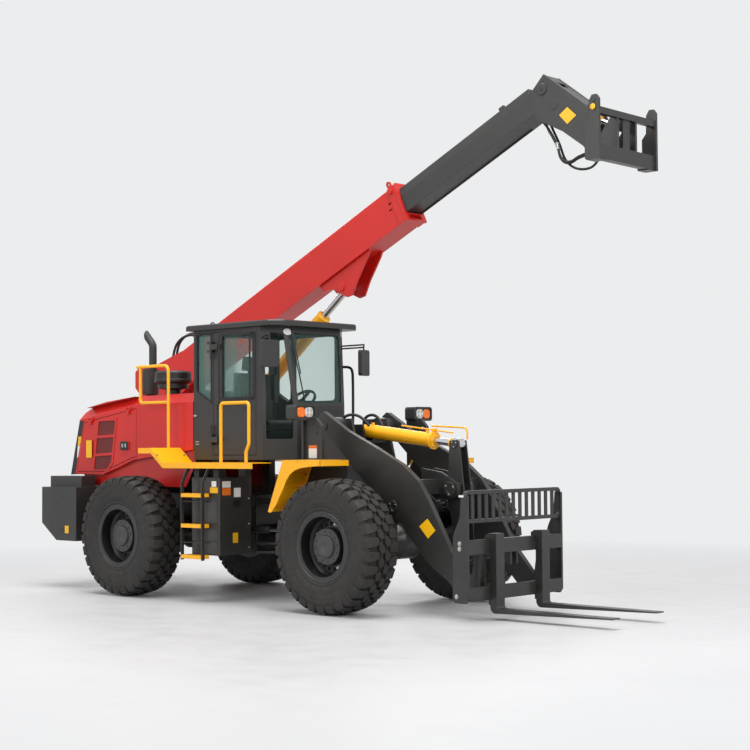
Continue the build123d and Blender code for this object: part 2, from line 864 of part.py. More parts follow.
# the nose leans back above the sill
nose_top_x = 1940
pillar_top_x = 1760
nose_top_half = 420
glass_inset = 18
glass_thickness = 6
doorway = (door_rear_x, door_front_x, 1575, 2945)
door_window = [(1148, 2205), (1635, 2205), (1635, 2900), (1148, 2900)]
quarter_window = [(727, 2290), (962, 2170), (962, 2925), (727, 2925)]
left_window = [(1020, 2190), (1685, 2190), (1685, 2925), (1020, 2925)]
rear_window = [(-520, 2310), (520, 2310), (520, 2925), (-520, 2925)]
windshield = [(-335, 2140), (335, 2140), (392, 2905), (-392, 2905)]
# the corner pane's outline along the corner face, from its middle below the sill
corner_window = [(-148, 1750), (142, 1750), (142, 2140), (40, 2905), (-166, 2905), (-148, 2140)]


def cab_section(z, height_share, inset):
    """The cab's plan at a share of the height from sill to roof, inset by a wall."""
    nose_x = cab_nose_x + (nose_top_x - cab_nose_x) * height_share
    pillar_x = cab_pillar_x + (pillar_top_x - cab_pillar_x) * height_share
    nose_half = cab_nose_half + (nose_top_half - cab_nose_half) * height_share
    half = cab_half_width - inset
    with BuildSketch(Plane.XY.offset(z)) as shape:
        with BuildLine():
            Polyline(
                (cab_rear_x + inset, -half),
                (pillar_x - inset * 0.4, -half),
                (nose_x - inset, -nose_half + inset * 0.5),
                (nose_x - inset, nose_half - inset * 0.5),
                (pillar_x - inset * 0.4, half),
                (cab_rear_x + inset, half),
                close=True,
            )
        make_face()
    return shape.sketch


def cab_volume(inset, low_z, high_z, mode=Mode.ADD):
    """The cab's block, upright to the sill and leaning above it, between two heights."""
    extrude(cab_section(low_z, 0, inset), amount=cab_sill_z - low_z, mode=mode)
    loft([cab_section(cab_sill_z, 0, inset), cab_section(high_z, 1, inset)], mode=mode)


def window_blank(plane, outline, depth, radius, shrink):
    """One window's outline pushed both ways through its wall."""
    with BuildSketch(plane) as shape:
        with BuildLine():
            Polyline(*outline, close=True)
        make_face()
        fillet(shape.vertices(), radius)
        if shrink:
            offset(amount=-shrink)
    extrude(shape.sketch, amount=depth, both=True)


def window_blanks(shrink):
    """Every window of the shell as one tool, shrunk for the panes that sit in them."""
    with BuildPart() as blanks:
        for side in (-1, 1):
            window_blank(side_frame(side * cab_half_width), quarter_window, 100, 35, shrink)
            middle_x = (cab_pillar_x + cab_nose_x) / 2
            middle_y = side * (cab_half_width + cab_nose_half) / 2
            along = Vector(cab_nose_x - cab_pillar_x, side * (cab_nose_half - cab_half_width), 0)
            face = Plane(origin=(middle_x, middle_y, 0), x_dir=along, z_dir=along.cross(Vector(0, 0, 1)))
            window_blank(face, corner_window, 115, 25, shrink)
        window_blank(side_frame(cab_half_width), left_window, 100, 45, shrink)
        window_blank(Plane.YZ.offset(cab_rear_x), rear_window, 100, 45, shrink)
        window_blank(Plane.YZ.offset(cab_nose_x - 50), windshield, 90, 45, shrink)
    return blanks.part


openings = window_blanks(0)
panes = window_blanks(seat_gap)

with BuildPart() as cab_shell:
    cab_volume(0, cab_floor_z, cab_top_z)
    cab_volume(cab_wall, cab_floor_z + cab_wall, cab_top_z, mode=Mode.SUBTRACT)
    add(openings, mode=Mode.SUBTRACT)
    half = cab_half_width
    block(doorway[0], doorway[1], -half - 10, -half + 200, doorway[2], doorway[3], mode=Mode.SUBTRACT)
    # hinge brackets with their pins
    for z in door_hinge_heights:
        for z_low in (z - 60, z + 35):
            block(940, door_hinge[0] + 15, door_hinge[1] - 15, door_hinge[1] + 15, z_low, z_low + 25)
            block(940, door_hinge[0] - 15, door_hinge[1] + 10, -cab_half_width + 1, z_low, z_low + 25)
        rod((*door_hinge, z - 60), (*door_hinge, z + 60), door_pin_radius)
pieces["cab_shell"] = cab_shell

with BuildPart() as cab_glass:
    cab_volume(glass_inset, cab_floor_z, cab_top_z)
    cab_volume(glass_inset + glass_thickness, cab_floor_z, cab_top_z, mode=Mode.SUBTRACT)
    add(panes, mode=Mode.INTERSECT)
pieces["cab_glass"] = cab_glass

with BuildPart() as cab_roof:
    with BuildSketch(Plane.XY.offset(cab_top_z)):
        with BuildLine():
            Polyline(
                (cab_rear_x - 75, -cab_half_width - 50),
                (nose_top_x - 10, -cab_half_width - 50),
                (nose_top_x + 120, -cab_half_width + 80),
                (nose_top_x + 120, cab_half_width - 80),
                (nose_top_x - 10, cab_half_width + 50),
                (cab_rear_x - 75, cab_half_width + 50),
                close=True,
            )
        make_face()
    extrude(amount=roof_thickness)
    chamfer(cab_roof.faces().sort_by(Axis.Z)[-1].edges(), 14)
    # a shallow raised panel stiffens the roof
    block(
        cab_rear_x + 60,
        nose_top_x - 120,
        -cab_half_width + 120,
        cab_half_width - 120,
        cab_top_z,
        cab_top_z + roof_thickness + 14,
    )
pieces["cab_roof"] = cab_roof

with BuildPart() as cab_door:
    block(
        door_rear_x + door_gap,
        door_front_x - door_gap,
        -cab_half_width,
        -cab_half_width + cab_wall,
        doorway[2] + door_gap,
        doorway[3] - door_gap,
    )
    plate(door_window, -cab_half_width - 10, -cab_half_width + 100, radius=40, mode=Mode.SUBTRACT)
    # pressed panel and lock handle
    plate(
        [(1060, 1640), (1630, 1640), (1630, 2130), (1060, 2130)],
        -cab_half_width - 1,
        -cab_half_width + 6,
        radius=30,
        mode=Mode.SUBTRACT,
    )
    block(1034, 1112, -cab_half_width - 26, -cab_half_width + 1, 2136, 2168)
    for z in door_hinge_heights:
        block(door_hinge[0] - 15, 1110, door_hinge[1] - 15, door_hinge[1] + 15, z - 30, z + 30)
        block(1020, 1110, door_hinge[1] + 10, -cab_half_width + 1, z - 30, z + 30)
        rod(
            (*door_hinge, z - 31),
            (*door_hinge, z + 31),
            door_pin_radius + pin_clearance,
            mode=Mode.SUBTRACT,
        )
pieces["cab_door"] = cab_door

with BuildPart() as door_glass:
    with BuildSketch(side_frame(-cab_half_width + glass_inset + glass_thickness)) as shape:
        with BuildLine():
            Polyline(*door_window, close=True)
        make_face()
        fillet(shape.vertices(), 40)
        offset(amount=-seat_gap)
    extrude(amount=glass_thickness)
pieces["door_glass"] = door_glass

# mirrors: each head on a bent bar from the cab's front corner
# side (+1 left, -1 right), head x, head y, head middle z
mirror_table = [(-1, 2130, -850, 2655), (1, 2140, 600, 2600)]
mirror_size = (200, 46, 290)
with BuildPart() as mirrors:
    for side, head_x, head_y, head_z in mirror_table:
        with BuildSketch(Plane(origin=(head_x, head_y, head_z), z_dir=(1, side * 0.3, 0))) as shape:
            RectangleRounded(mirror_size[0], mirror_size[2], 30)
        extrude(shape.sketch, amount=mirror_size[1] / 2, both=True)
        for z in (head_z + 175, head_z + 205):
            root = (pillar_top_x + 20, side * (cab_half_width - 30), z)
            tube([root, (head_x - 60, head_y, z), (head_x, head_y, z)], 30, 9)
        rod((head_x, head_y, head_z), (head_x, head_y, head_z + 214), 9)
# each bar ends at the cab's skin
pieces["mirrors"] = mirrors.part - cab_shell.part

# ---------------------------------------------------------------- cab inside
with BuildPart() as seat:
    cushion = [(1010, 1830), (1470, 1860), (1490, 1930), (1440, 1965), (1060, 1945), (1010, 1930)]
    plate(cushion, -240, 240, radius=18)
    backrest = [(1030, 1935), (1070, 1950), (985, 2500), (905, 2510), (875, 2480), (945, 1930)]
    plate(backrest, -225, 225, radius=20)
    headrest = [(985, 2530), (1000, 2690), (930, 2700), (905, 2540)]
    plate(headrest, -130, 130, radius=20)
    block(935, 955, -60, 60, 2480, 2560)
    # folded armrests and the sprung base
    for low, high in both_sides(262, 322):
        plate([(975, 2160), (1045, 2160), (1035, 2500), (985, 2500)], low, high, radius=15)
    for low, high in both_sides(200, 275):
        block(985, 1030, low, high, 2168, 2200)
    plate([(1060, 1835), (1430, 1850), (1380, 1700), (1100, 1700)], -190, 190)
    block(1040, 1440, -200, 200, cab_floor_z + cab_wall, 1705)
pieces["seat"] = seat

with BuildPart() as console:
    # dashboard, steering column and wheel
    dash = [
        (1830, cab_floor_z + cab_wall),
        (1960, cab_floor_z + cab_wall),
        (1985, 2060),
        (1900, 2120),
        (1830, 2040),
    ]
    plate(dash, -230, 230, radius=18)
    rod((1880, 0, 2000), (1745, 0, 2150), 35)
    wheel_plane = Plane(origin=(1745, 0, 2150), z_dir=(-135, 0, 150))
    with BuildSketch(wheel_plane):
        Circle(190)
        Circle(168, mode=Mode.SUBTRACT)
        Rectangle(346, 34)
        Rectangle(34, 346)
        Circle(52)
    extrude(amount=24)
    # control box beside the seat, with two levers
    block(1180, 1500, -570, -460, cab_floor_z + cab_wall, 2090)
    for x in (1400, 1460):
        rod((x, -515, 2080), (x + 25, -515, 2230), 11)
        rod((x + 24, -515, 2222), (x + 29, -515, 2270), 22)
pieces["console"] = console

# ---------------------------------------------------------------- exhaust and air cleaner
stack_radius = 46
stack_x = exhaust_place[0] + 45
with BuildPart() as exhaust:
    rod((*exhaust_place, 1850 + seat_gap), (*exhaust_place, 2310), 60)
    rod((*exhaust_place, 2300), (*exhaust_place, 2600), muffler_radius)
    rod((*exhaust_place, 2590), (*exhaust_place, 2622), muffler_radius - 24)
    stack = [
        (stack_x, exhaust_place[1], 2605),
        (stack_x, exhaust_place[1], 2900),
        (-720, exhaust_place[1], 3045),
    ]
    tube(stack, 90, stack_radius)
    tube(stack, 90, stack_radius - 5, mode=Mode.SUBTRACT)
    block(-900, -688, exhaust_place[1] - 80, exhaust_place[1] + 80, 2900, 3150, mode=Mode.SUBTRACT)
pieces["exhaust"] = exhaust

with BuildPart() as air_cleaner:
    # radius and height of each step, from the neck up to the lid
    with BuildSketch(Plane.XZ.offset(-cleaner_place[1])) as half_section:
        with BuildLine():
            Polyline(
                (cleaner_place[0], 2150),
                (cleaner_place[0] + neck_radius, 2150),
                (cleaner_place[0] + neck_radius, 2338),
                (cleaner_place[0] + 178, 2352),
                (cleaner_place[0] + 178, 2405),
                (cleaner_place[0] + 214, 2420),
                (cleaner_place[0] + 222, 2436),
                (cleaner_place[0] + 222, 2452),
                (cleaner_place[0] + 214, 2460),
                (cleaner_place[0] + 214, 2532),
                (cleaner_place[0] + 190, 2556),
                (cleaner_place[0] + 60, 2562),
                (cleaner_place[0], 2562),
                close=True,
            )
        make_face()
    revolve(axis=Axis((*cleaner_place, 0), (0, 0, 1)))
pieces["air_cleaner"] = air_cleaner

# ---------------------------------------------------------------- boom pedestal
pedestal_gap = 12
tail_lug_width = boom_width + 2 * pedestal_gap
pedestal_plate = 30
boom_pin_radius = 45
boom_ram_eye_width = 90
with BuildPart() as boom_pedestal:
    outline = [
        (pedestal_rear_x, 2440),
        (pedestal_rear_x, 2650),
        (-1960, 2695),
        (-1700, 2695),
        (-1440, 2560),
        (-560, 1800),
        (-560, 1600),
        (-700, 1540),
        (-1040, 1500),
        (-1100, weight_top_z),
        (-1560, weight_top_z),
        (-1880, 2300),
    ]
    for side in (-1, 1):
        middle = boom_y + side * (tail_lug_width + pedestal_plate) / 2
        plate(outline, middle - pedestal_plate / 2, middle + pedestal_plate / 2)
    inner_low = boom_y - tail_lug_width / 2
    inner_high = boom_y + tail_lug_width / 2
    neck = [(-1560, weight_top_z), (-1100, weight_top_z), (-1090, 1260), (-1570, 1260)]
    plate(neck, inner_low, inner_high)
    plate([(-1640, 1500), (-1580, 1400), (-1560, 1420), (-1620, 1520)], inner_low, inner_high)
    pin(boom_pivot, inner_low - pedestal_plate, inner_high + pedestal_plate, boom_pin_radius)
    pin(boom_lift_foot, inner_low - pedestal_plate, inner_high + pedestal_plate, 35)
pieces["boom_pedestal"] = boom_pedestal

# ---------------------------------------------------------------- telescopic boom
boom_half = boom_width / 2
boom_lug_plate = 24
boom_lug = [
    (1290, 3530),
    (1359, 3463),
    (1490, 3489),
    (1634, 3421),
    (1729, 3380),
    (1809, 3400),
    (1889, 3564),
    (2064, 3836),
    (2100, 3920),
    (1700, 3740),
    (1300, 3560),
]
boom_side = dict(origin=boom_pivot, angle=boom_angle)


def rise_at(reach, height):
    """The side-view point at some reach along the boom and some height off its line."""
    slope = radians(boom_angle)
    x = boom_pivot[0] + reach * cos(slope) - height * sin(slope)
    z = boom_pivot[1] + reach * sin(slope) + height * cos(slope)
    return x, z


def boom_box(start, end, half_width, bottom, top, corner_in, corner_down, mode=Mode.ADD):
    """A length of box section along the boom, with both its top corners sloped off."""
    slope = radians(boom_angle)
    along = Vector(cos(slope), 0, sin(slope))
    middle = Vector(boom_pivot[0], boom_y, boom_pivot[1]) + along * start
    with BuildSketch(Plane(origin=middle, x_dir=(0, 1, 0), z_dir=along)) as shape:
        with BuildLine():
            Polyline(
                (-half_width, bottom),
                (half_width, bottom),
                (half_width, top - corner_down),
                (half_width - corner_in, top),
                (corner_in - half_width, top),
                (-half_width, top - corner_down),
                close=True,
            )
        make_face()
    extrude(shape.sketch, amount=end - start, mode=mode)


collar_length = 70
with BuildPart() as boom_outer:
    boom_box(boom_start, boom_end, boom_half, boom_bottom, boom_top, 10, 10)
    hollow_half = boom_half - boom_wall
    hollow_low, hollow_high = boom_bottom + boom_wall, boom_top - boom_wall
    boom_box(boom_start + 20, boom_end + 10, hollow_half, hollow_low, hollow_high, 8, 8, Mode.SUBTRACT)
    # tail cheeks, out to the pivot
    tail = [
        (-150, -60),
        (-60, 140),
        (60, 150),
        (boom_start + 30, boom_top),
        (boom_start + 30, boom_bottom),
        (boom_start - 200, boom_bottom - 40),
    ]
    for side in (-1, 1):
        edge = boom_y + side * boom_half
        low, high = sorted((edge, edge - side * 40))
        plate(tail, low, high, **boom_side)
        pin(boom_pivot, low, high, boom_pin_radius + pin_clearance, mode=Mode.SUBTRACT)
    # collar at the mouth, its lip and the lip's lower window for the hose ends
    boom_box(boom_end - collar_length, boom_end + 40, boom_half + 12, boom_bottom - 6, boom_top + 14, 14, 14)
    boom_box(boom_end + 30, boom_end + 60, boom_half + 20, boom_bottom - 14, boom_top + 20, 24, 24)
    passage_half = inner_width / 2 + pad_clearance
    passage_low, passage_high = inner_bottom - pad_clearance, inner_top + pad_clearance
    boom_box(
        boom_end - collar_length - 10,
        boom_end + 80,
        passage_half,
        passage_low,
        passage_high,
        shoulder_in,
        shoulder_down,
        Mode.SUBTRACT,
    )
    boom_box(boom_end + 5, boom_end + 80, 100, boom_bottom + 10, inner_bottom - 20, 20, 20, Mode.SUBTRACT)
    # pad slots in both side walls, reach and height
    for reach, height in [(boom_end - 130, -120), (boom_end - 150, -190)]:
        for side in (-1, 1):
            low, high = sorted((boom_y + side * (hollow_half - 2), boom_y + side * (boom_half + 2)))
            slot = [(reach, height), (reach + 52, height), (reach + 52, height + 18), (reach, height + 18)]
            plate(slot, low, high, radius=8, mode=Mode.SUBTRACT, **boom_side)
    # lifting rings on the collar
    for side in (-1, 1):
        low, high = sorted((boom_y + side * (boom_half - 22), boom_y + side * (boom_half + 2)))
        ring = [(boom_end - 62, 50), (boom_end - 62, 132), (boom_end - 2, 132), (boom_end - 2, 50)]
        hole = [(boom_end - 47, 78), (boom_end - 47, 117), (boom_end - 17, 117), (boom_end - 17, 78)]
        plate(ring, low, high, radius=29, **boom_side)
        plate(hole, low - 1, high + 1, radius=14, mode=Mode.SUBTRACT, **boom_side)
        boss = rise_at(boom_end - 30, -2)
        pin(boss, *sorted((boom_y + side * boom_half, boom_y + side * (boom_half + 34))), 26)
    # lugs for the lift cylinder's rod
    for side in (-1, 1):
        near = boom_y + side * boom_lug_half
        low, high = sorted((near, near + side * boom_lug_plate))
        plate(boom_lug, low, high)
        head = near + side * boom_lug_plate
        pin(boom_lift_eye, *sorted((head - side, head + side * 14)), 48)
pieces["boom_outer"] = boom_outer

with BuildPart() as boom_inner:
    inner_half = inner_width / 2
    boom_box(inner_start, inner_end, inner_half, inner_bottom, inner_top, shoulder_in, shoulder_down)
    boom_box(
        inner_start - 10,
        inner_end - 200,
        inner_half - inner_wall,
        inner_bottom + inner_wall + 12,
        inner_top - inner_wall,
        shoulder_in,
        shoulder_down,
        Mode.SUBTRACT,
    )
    # the bottom plate is set up between the side plates
    boom_box(
        inner_start - 10,
        inner_end - 250,
        inner_half - 14,
        inner_bottom - 10,
        inner_bottom + 12,
        1,
        1,
        Mode.SUBTRACT,
    )
    # the head bends down from the boom's end
    head_side = [
        (4379, 5295),
        (4576, 5499),
        (5066, 5127),
        (5150, 5063),
        (5290, 4690),
        (5290, 4580),
        (5200, 4545),
        (5130, 4610),
        (5059, 4689),
        (4808, 4871),
        (4490, 5030),
    ]
    for side in (-1, 1):
        edge = boom_y + side * head_half_width
        low, high = sorted((edge, edge - side * head_plate))
        plate(head_side, low, high)
    inside = head_half_width - head_plate
    crown = [(4490, 5390), (4576, 5493), (4690, 5408), (4676, 5388), (4575, 5467), (4505, 5390)]
    plate(crown, boom_y - inside, boom_y + inside)
    plate([(4760, 5352), (5080, 5112), (5068, 5096), (4748, 5336)], boom_y - inside, boom_y + inside)
    for side in (-1, 1):
        low, high = sorted((boom_y + side * 60, boom_y + side * inside))
        plate([(4670, 5420), (4780, 5338), (4768, 5322), (4658, 5404)], low, high)
    plate([(4505, 5023), (4808, 4871), (4815, 4890), (4520, 5040)], boom_y - inside, boom_y + inside)
    # thick bosses round the head's holes: place, radius
    for place, boss_radius in [((4517, 5355), 42), (head_ram_foot, 50), (head_pivot, 62)]:
        for side in (-1, 1):
            edge = boom_y + side * head_half_width
            pin(place, *sorted((edge - side, edge + side * face_clearance * 0.8)), boss_radius)
    pin((4517, 5355), boom_y - head_half_width - 10, boom_y + head_half_width + 10, 24, mode=Mode.SUBTRACT)
    pin(head_pivot, boom_y - head_half_width - 40, boom_y + head_half_width + 40, 30)
    pin(head_ram_foot, boom_y - inside, boom_y + inside, 25)
    # clamp for the hoses where they leave the boom
    for side in (-1, 1):
        low, high = sorted((boom_y + side * 80, boom_y + side * 112))
        clamp = [
            (inner_end - 420, -30),
            (inner_end - 420, 18),
            (inner_end - 350, 18),
            (inner_end - 350, -30),
        ]
        plate(clamp, low, high, **boom_side)
pieces["boom_inner"] = boom_inner

# an outline point of the carrier is given from its front face, up from its foot
carrier_height = carrier_top_z - carrier_low_z
with BuildPart() as boom_carrier:
    column = [
        (-170, 16),
        (-170, 336),
        (-120, 396),
        (-115, carrier_height - 54),
        (-80, carrier_height),
        (-30, carrier_height),
        (0, carrier_height - 42),
        (0, 0),
        (-150, 0),
    ]
    column = [(carrier_front_x + x, carrier_low_z + z) for x, z in column]
    for side in (-1, 1):
        edge = boom_y + side * carrier_half_width
        low, high = sorted((edge, edge - side * 32))
        plate(column, low, high)
        # hook block at the foot, and the pin cap at the top
        low, high = sorted((edge - side * 32, edge - side * 150))
        block(
            carrier_front_x - 150,
            carrier_front_x - 20,
            low,
            high,
            carrier_low_z - 0.5,
            carrier_low_z + 30,
        )
        cap = (carrier_front_x - 58, carrier_top_z - 52)
        pin(cap, *sorted((edge, edge + side * 8)), 24)
    side_low = boom_y - carrier_half_width + 30
    side_high = boom_y + carrier_half_width - 30
    block(carrier_front_x - 62, carrier_front_x - 10, side_low, side_high, 4905, 4972)
    block(carrier_front_x - 110, carrier_front_x - 20, side_low, side_high, carrier_low_z + 10, 4610)
    # hinge lugs outside the head and ram lugs inside it
    for side in (-1, 1):
        near = boom_y + side * (head_half_width + face_clearance)
        low, high = sorted((near, near + side * 30))
        plate(
            [
                (5150, 4560),
                (5150, 4680),
                (5240, 4700),
                (carrier_front_x - 80, 4950),
                (carrier_front_x - 20, 4950),
                (carrier_front_x - 20, 4480),
                (5300, 4500),
            ],
            low,
            high,
        )
        pin(head_pivot, low, high, 30 + pin_clearance, mode=Mode.SUBTRACT)
        near = boom_y + side * (30 + face_clearance)
        low, high = sorted((near, near + side * 20))
        ram_lug = [(-180, 4830), (-160, 4905), (-80, 4950), (-35, 4950), (-35, 4790), (-80, 4790)]
        plate([(carrier_front_x + x, z) for x, z in ram_lug], low, high)
    block(carrier_front_x - 50, carrier_front_x - 30, boom_y - 60, boom_y + 60, 4600, 4960)
pieces["boom_carrier"] = boom_carrier

# ---------------------------------------------------------------- cylinders
# name, foot, eye, middle y, barrel radius, rod radius, rod shown, rod hidden,
# eye radius, foot eye width, rod eye width, foot pin radius
gauge_height = 106
gauge_flange = 20
gauge_radius = 8
side_rams = [
    (
        "boom_lift", boom_lift_foot, boom_lift_eye, boom_y,
        85, 42, 500, 940, 62, 90, 2 * boom_lug_half - 10, 35,
    ),
    ("head_tilt", head_ram_foot, head_ram_eye, boom_y, 45, 24, 210, 270, 42, 60, 60, 25),
    ("tilt", tilt_foot, crank_top, 0, 72, 36, 300, 400, 60, 90, 90, 35),
]
for (
    name, foot, eye, middle_y, body_radius, rod_radius,
    shown, hidden, eye_radius, foot_width, eye_width, foot_pin,
) in side_rams:
    span = length_between(foot, eye)
    line = ram_frame((foot[0], middle_y, foot[1]), (eye[0], middle_y, eye[1]), (0, 1, 0))
    gland = span - shown
    body_start = eye_radius + 50
    with BuildPart() as barrel:
        ram_bar(line, 0, body_start + 5, foot_width * 0.42)
        ram_bar(line, body_start, gland, body_radius)
        ram_eye(line, 0, eye_radius, foot_width, foot_pin + pin_clearance)
        ram_bar(line, body_start + 25, gland + 1, rod_radius + pin_clearance, mode=Mode.SUBTRACT)
        if name == "tilt":
            ram_bar(line, gland - 45, gland - 10, body_radius + gauge_flange)
            ram_bar(line, gland - 10, gland, body_radius - 8)
            ring = Plane(origin=ram_point(line, gland - 45, gauge_height), z_dir=line.x_dir)
            with BuildSketch(ring) as guide:
                Circle(24)
            extrude(guide.sketch, amount=35)
            with BuildSketch(ring.offset(-5)) as guide_bore:
                Circle(gauge_radius + 1)
            extrude(guide_bore.sketch, amount=50, mode=Mode.SUBTRACT)
            ram_bar(line, body_start + 25, gland + 1, rod_radius + pin_clearance, mode=Mode.SUBTRACT)
            for reach in (body_start + 40, gland - 120):
                port = ram_point(line, reach, body_radius + 20)
                rod(ram_point(line, reach, body_radius - 10), port, 20)
    pieces[name + "_barrel"] = barrel
    with BuildPart() as piston_rod:
        ram_bar(line, gland - hidden, span, rod_radius)
        ram_eye(line, span, eye_radius, eye_width, 0)
    pieces[name + "_rod"] = piston_rod

# the level rod that rides on the tilt cylinder's rod and runs back over its barrel
line = ram_frame((tilt_foot[0], 0, tilt_foot[1]), (crank_top[0], 0, crank_top[1]), (0, 1, 0))
span = length_between(tilt_foot, crank_top)
with BuildPart() as tilt_gauge:
    ram_bar(line, span - 92, span - 76, 50)
    rod(ram_point(line, span - 780, gauge_height), ram_point(line, span - 76, gauge_height), gauge_radius)
    foot = Plane(origin=ram_point(line, span - 92, 0), x_dir=line.z_dir, z_dir=line.x_dir)
    with BuildSketch(foot) as strap:
        with Locations((0, -gauge_height / 2)):
            Rectangle(28, gauge_height + 24)
    extrude(strap.sketch, amount=16)
    ram_bar(line, span - 95, span - 70, 36 + seat_gap, mode=Mode.SUBTRACT)
pieces["tilt_gauge"] = tilt_gauge

# both lift cylinders turn and slide together, so they are one pair of bodies
lift_span = length_between(lift_foot, lift_eye)
lift_gland = lift_span - 120
with BuildPart() as lift_barrels:
    for side in (-1, 1):
        y = side * lift_cylinder_y
        line = ram_frame((lift_foot[0], y, lift_foot[1]), (lift_eye[0], y, lift_eye[1]), (0, 1, 0))
        ram_bar(line, 30, lift_gland, 65)
        ram_eye(line, 0, 58, 70, 32 + pin_clearance)
        ram_bar(line, 110, lift_gland + 1, 36 + pin_clearance, mode=Mode.SUBTRACT)
pieces["lift_barrels"] = lift_barrels
with BuildPart() as lift_rods:
    for side in (-1, 1):
        y = side * lift_cylinder_y
        line = ram_frame((lift_foot[0], y, lift_foot[1]), (lift_eye[0], y, lift_eye[1]), (0, 1, 0))
        ram_bar(line, 150, lift_span, 36)
        ram_eye(line, lift_span, 58, 70, 0)
pieces["lift_rods"] = lift_rods

# steering cylinders
steer_gland_share = 0.64
steer_bore_start = 75
steer_stroke = 238
for name, side in (("left", 1), ("right", -1)):
    foot = (steer_foot[0], side * steer_foot[1], steer_z)
    eye = (steer_eye[0], side * steer_eye[1], steer_z)
    line = ram_frame(foot, eye, (0, 0, 1))
    span = length_between(steer_foot, steer_eye)
    gland = span * steer_gland_share
    with BuildPart() as barrel:
        ram_bar(line, 0, 65, 22)
        ram_bar(line, 60, gland, 42)
        ram_eye(line, 0, 40, 2 * steer_eye_half, steer_pin_radius + pin_clearance)
        ram_bar(line, steer_bore_start, gland + 1, 20 + pin_clearance, mode=Mode.SUBTRACT)
    pieces["steer_barrel_" + name] = barrel
    with BuildPart() as piston_rod:
        ram_bar(line, steer_bore_start + 5 + steer_stroke, span, 20)
        ram_eye(line, span, 36, 2 * steer_eye_half, 0)
    pieces["steer_rod_" + name] = piston_rod

# ---------------------------------------------------------------- front frame
front_start_x = pivot_x + 300
front_end_x = wheel_base + 260
with BuildPart() as front_frame:
    for side in (-1, 1):
        inner = frame_half_width - frame_plate
        low, high = sorted((side * inner, side * frame_half_width))
        plate(
            [
                (front_start_x, 480),
                (wheel_base - 330, 560),
                (wheel_base - 200, saddle_top_z),
                (wheel_base + 200, saddle_top_z),
                (front_end_x, 900),
                (front_end_x, 1080),
                (wheel_base - 327, 1500),
                (wheel_base - 447, 1960),
                (wheel_base - 767, 1960),
                (wheel_base - 977, 1500),
                (front_start_x, 1130),
            ],
            low,
            high,
        )
        # towers outside the plates carry the arm pins
        low, high = sorted((side * frame_half_width, side * (arm_y - arm_thickness / 2 - face_clearance)))
        pin(arm_root, low, high, 95)
        low, high = sorted((side * frame_half_width, side * (arm_y + arm_thickness / 2 + 12)))
        pin(arm_root, low, high, arm_pin_radius)
        pin(lift_foot, *sorted((side * frame_half_width, side * (lift_cylinder_y + 45))), 32)
        # steering lugs, which taper out to the rods' eyes
        for z_low in (
            steer_z - steer_eye_half - face_clearance - 20,
            steer_z + steer_eye_half + face_clearance,
        ):
            with BuildSketch(Plane.XY.offset(z_low)):
                with BuildLine():
                    Polyline(
                        (steer_eye[0] - steer_lug_radius, side * steer_eye[1]),
                        (front_start_x, side * frame_half_width),
                        (front_start_x, side * (frame_half_width - frame_plate)),
                        (front_start_x + 220, side * (frame_half_width - frame_plate)),
                        (front_start_x + 220, side * frame_half_width),
                        (steer_eye[0] + steer_lug_radius, side * steer_eye[1]),
                        close=True,
                    )
                make_face()
                with Locations((steer_eye[0], side * steer_eye[1])):
                    Circle(steer_lug_radius)
            extrude(amount=20, dir=(0, 0, 1))
    block(front_start_x, front_start_x + 25, -inner, inner, 900, 1130)
    block(front_start_x, front_start_x + 25, -inner, inner, 480, 600)
    block(front_end_x - 25, front_end_x, -inner, inner, 900, 1080)
    block(wheel_base - 787, wheel_base - 762, -inner, inner, 1150, 1500)
    block(wheel_base - 667, wheel_base - 447, -inner, inner, 1700, 1725)
    # hinge tongues
    for low_pair, high_pair in [(ear_levels[0], ear_levels[1]), (ear_levels[2], ear_levels[3])]:
        z_low, z_high = low_pair[1] + pivot_gap, high_pair[0] - pivot_gap
        with BuildSketch(Plane.XY.offset(z_low)):
            with BuildLine():
                Polyline(
                    (pivot_x, -110), (front_start_x, -170), (front_start_x, 170), (pivot_x, 110), close=True
                )
            make_face()
            with Locations((pivot_x, 0)):
                Circle(110)
                Circle(king_pin_radius + pin_clearance, mode=Mode.SUBTRACT)
        extrude(amount=z_high - z_low)
    # tilt cylinder's foot
    for side in (-1, 1):
        low, high = sorted((side * 50, side * 75))
        plate(ahead([(-667, 1725), (-627, 1900), (-487, 1900), (-447, 1725)]), low, high)
    pin(tilt_foot, -50, 50, 35)
pieces["front_frame"] = front_frame

# ---------------------------------------------------------------- front fenders and lamps
fender_inner_y = 790
fender_outer_y = 1205
fender_sheet = 10
fender_flange = 52
fender_line = ahead([(-760, 1003), (-551, 1505), (-535, 1524), (-511, 1534), (361, 1530)])
lamp_inner_y = 770
lamp_outer_y = 1070
with BuildPart() as front_fenders:
    for side in (-1, 1):
        low, high = sorted((side * fender_inner_y, side * fender_outer_y))
        plate(strip(fender_line, fender_sheet), low, high)
        # turned-down edges, deeper on the outside, and the ribs under the sheet
        edge = side * fender_outer_y
        plate(strip(fender_line, fender_flange), *sorted((edge, edge - side * 8)))
        edge = side * fender_inner_y
        plate(strip(fender_line, 36), *sorted((edge, edge + side * 8)))
        for reach in (-260, 120):
            block(wheel_base + reach, wheel_base + reach + 10, low, high, 1496, 1526)
        block(wheel_base + 351, wheel_base + 361, low, high, 1494, 1526)
        plate(ahead([(-690, 1170), (-664, 1232), (-640, 1222), (-666, 1160)]), low, high)
        # bracket behind the lift cylinder's path
        low, high = sorted((side * frame_half_width, side * (fender_inner_y + 60)))
        block(wheel_base - 787, wheel_base - 727, low, high, 1375, 1425)
        low, high = sorted((side * fender_inner_y, side * (fender_inner_y + 60)))
        block(wheel_base - 787, wheel_base - 580, low, high, 1375, 1425)
pieces["front_fenders"] = front_fenders

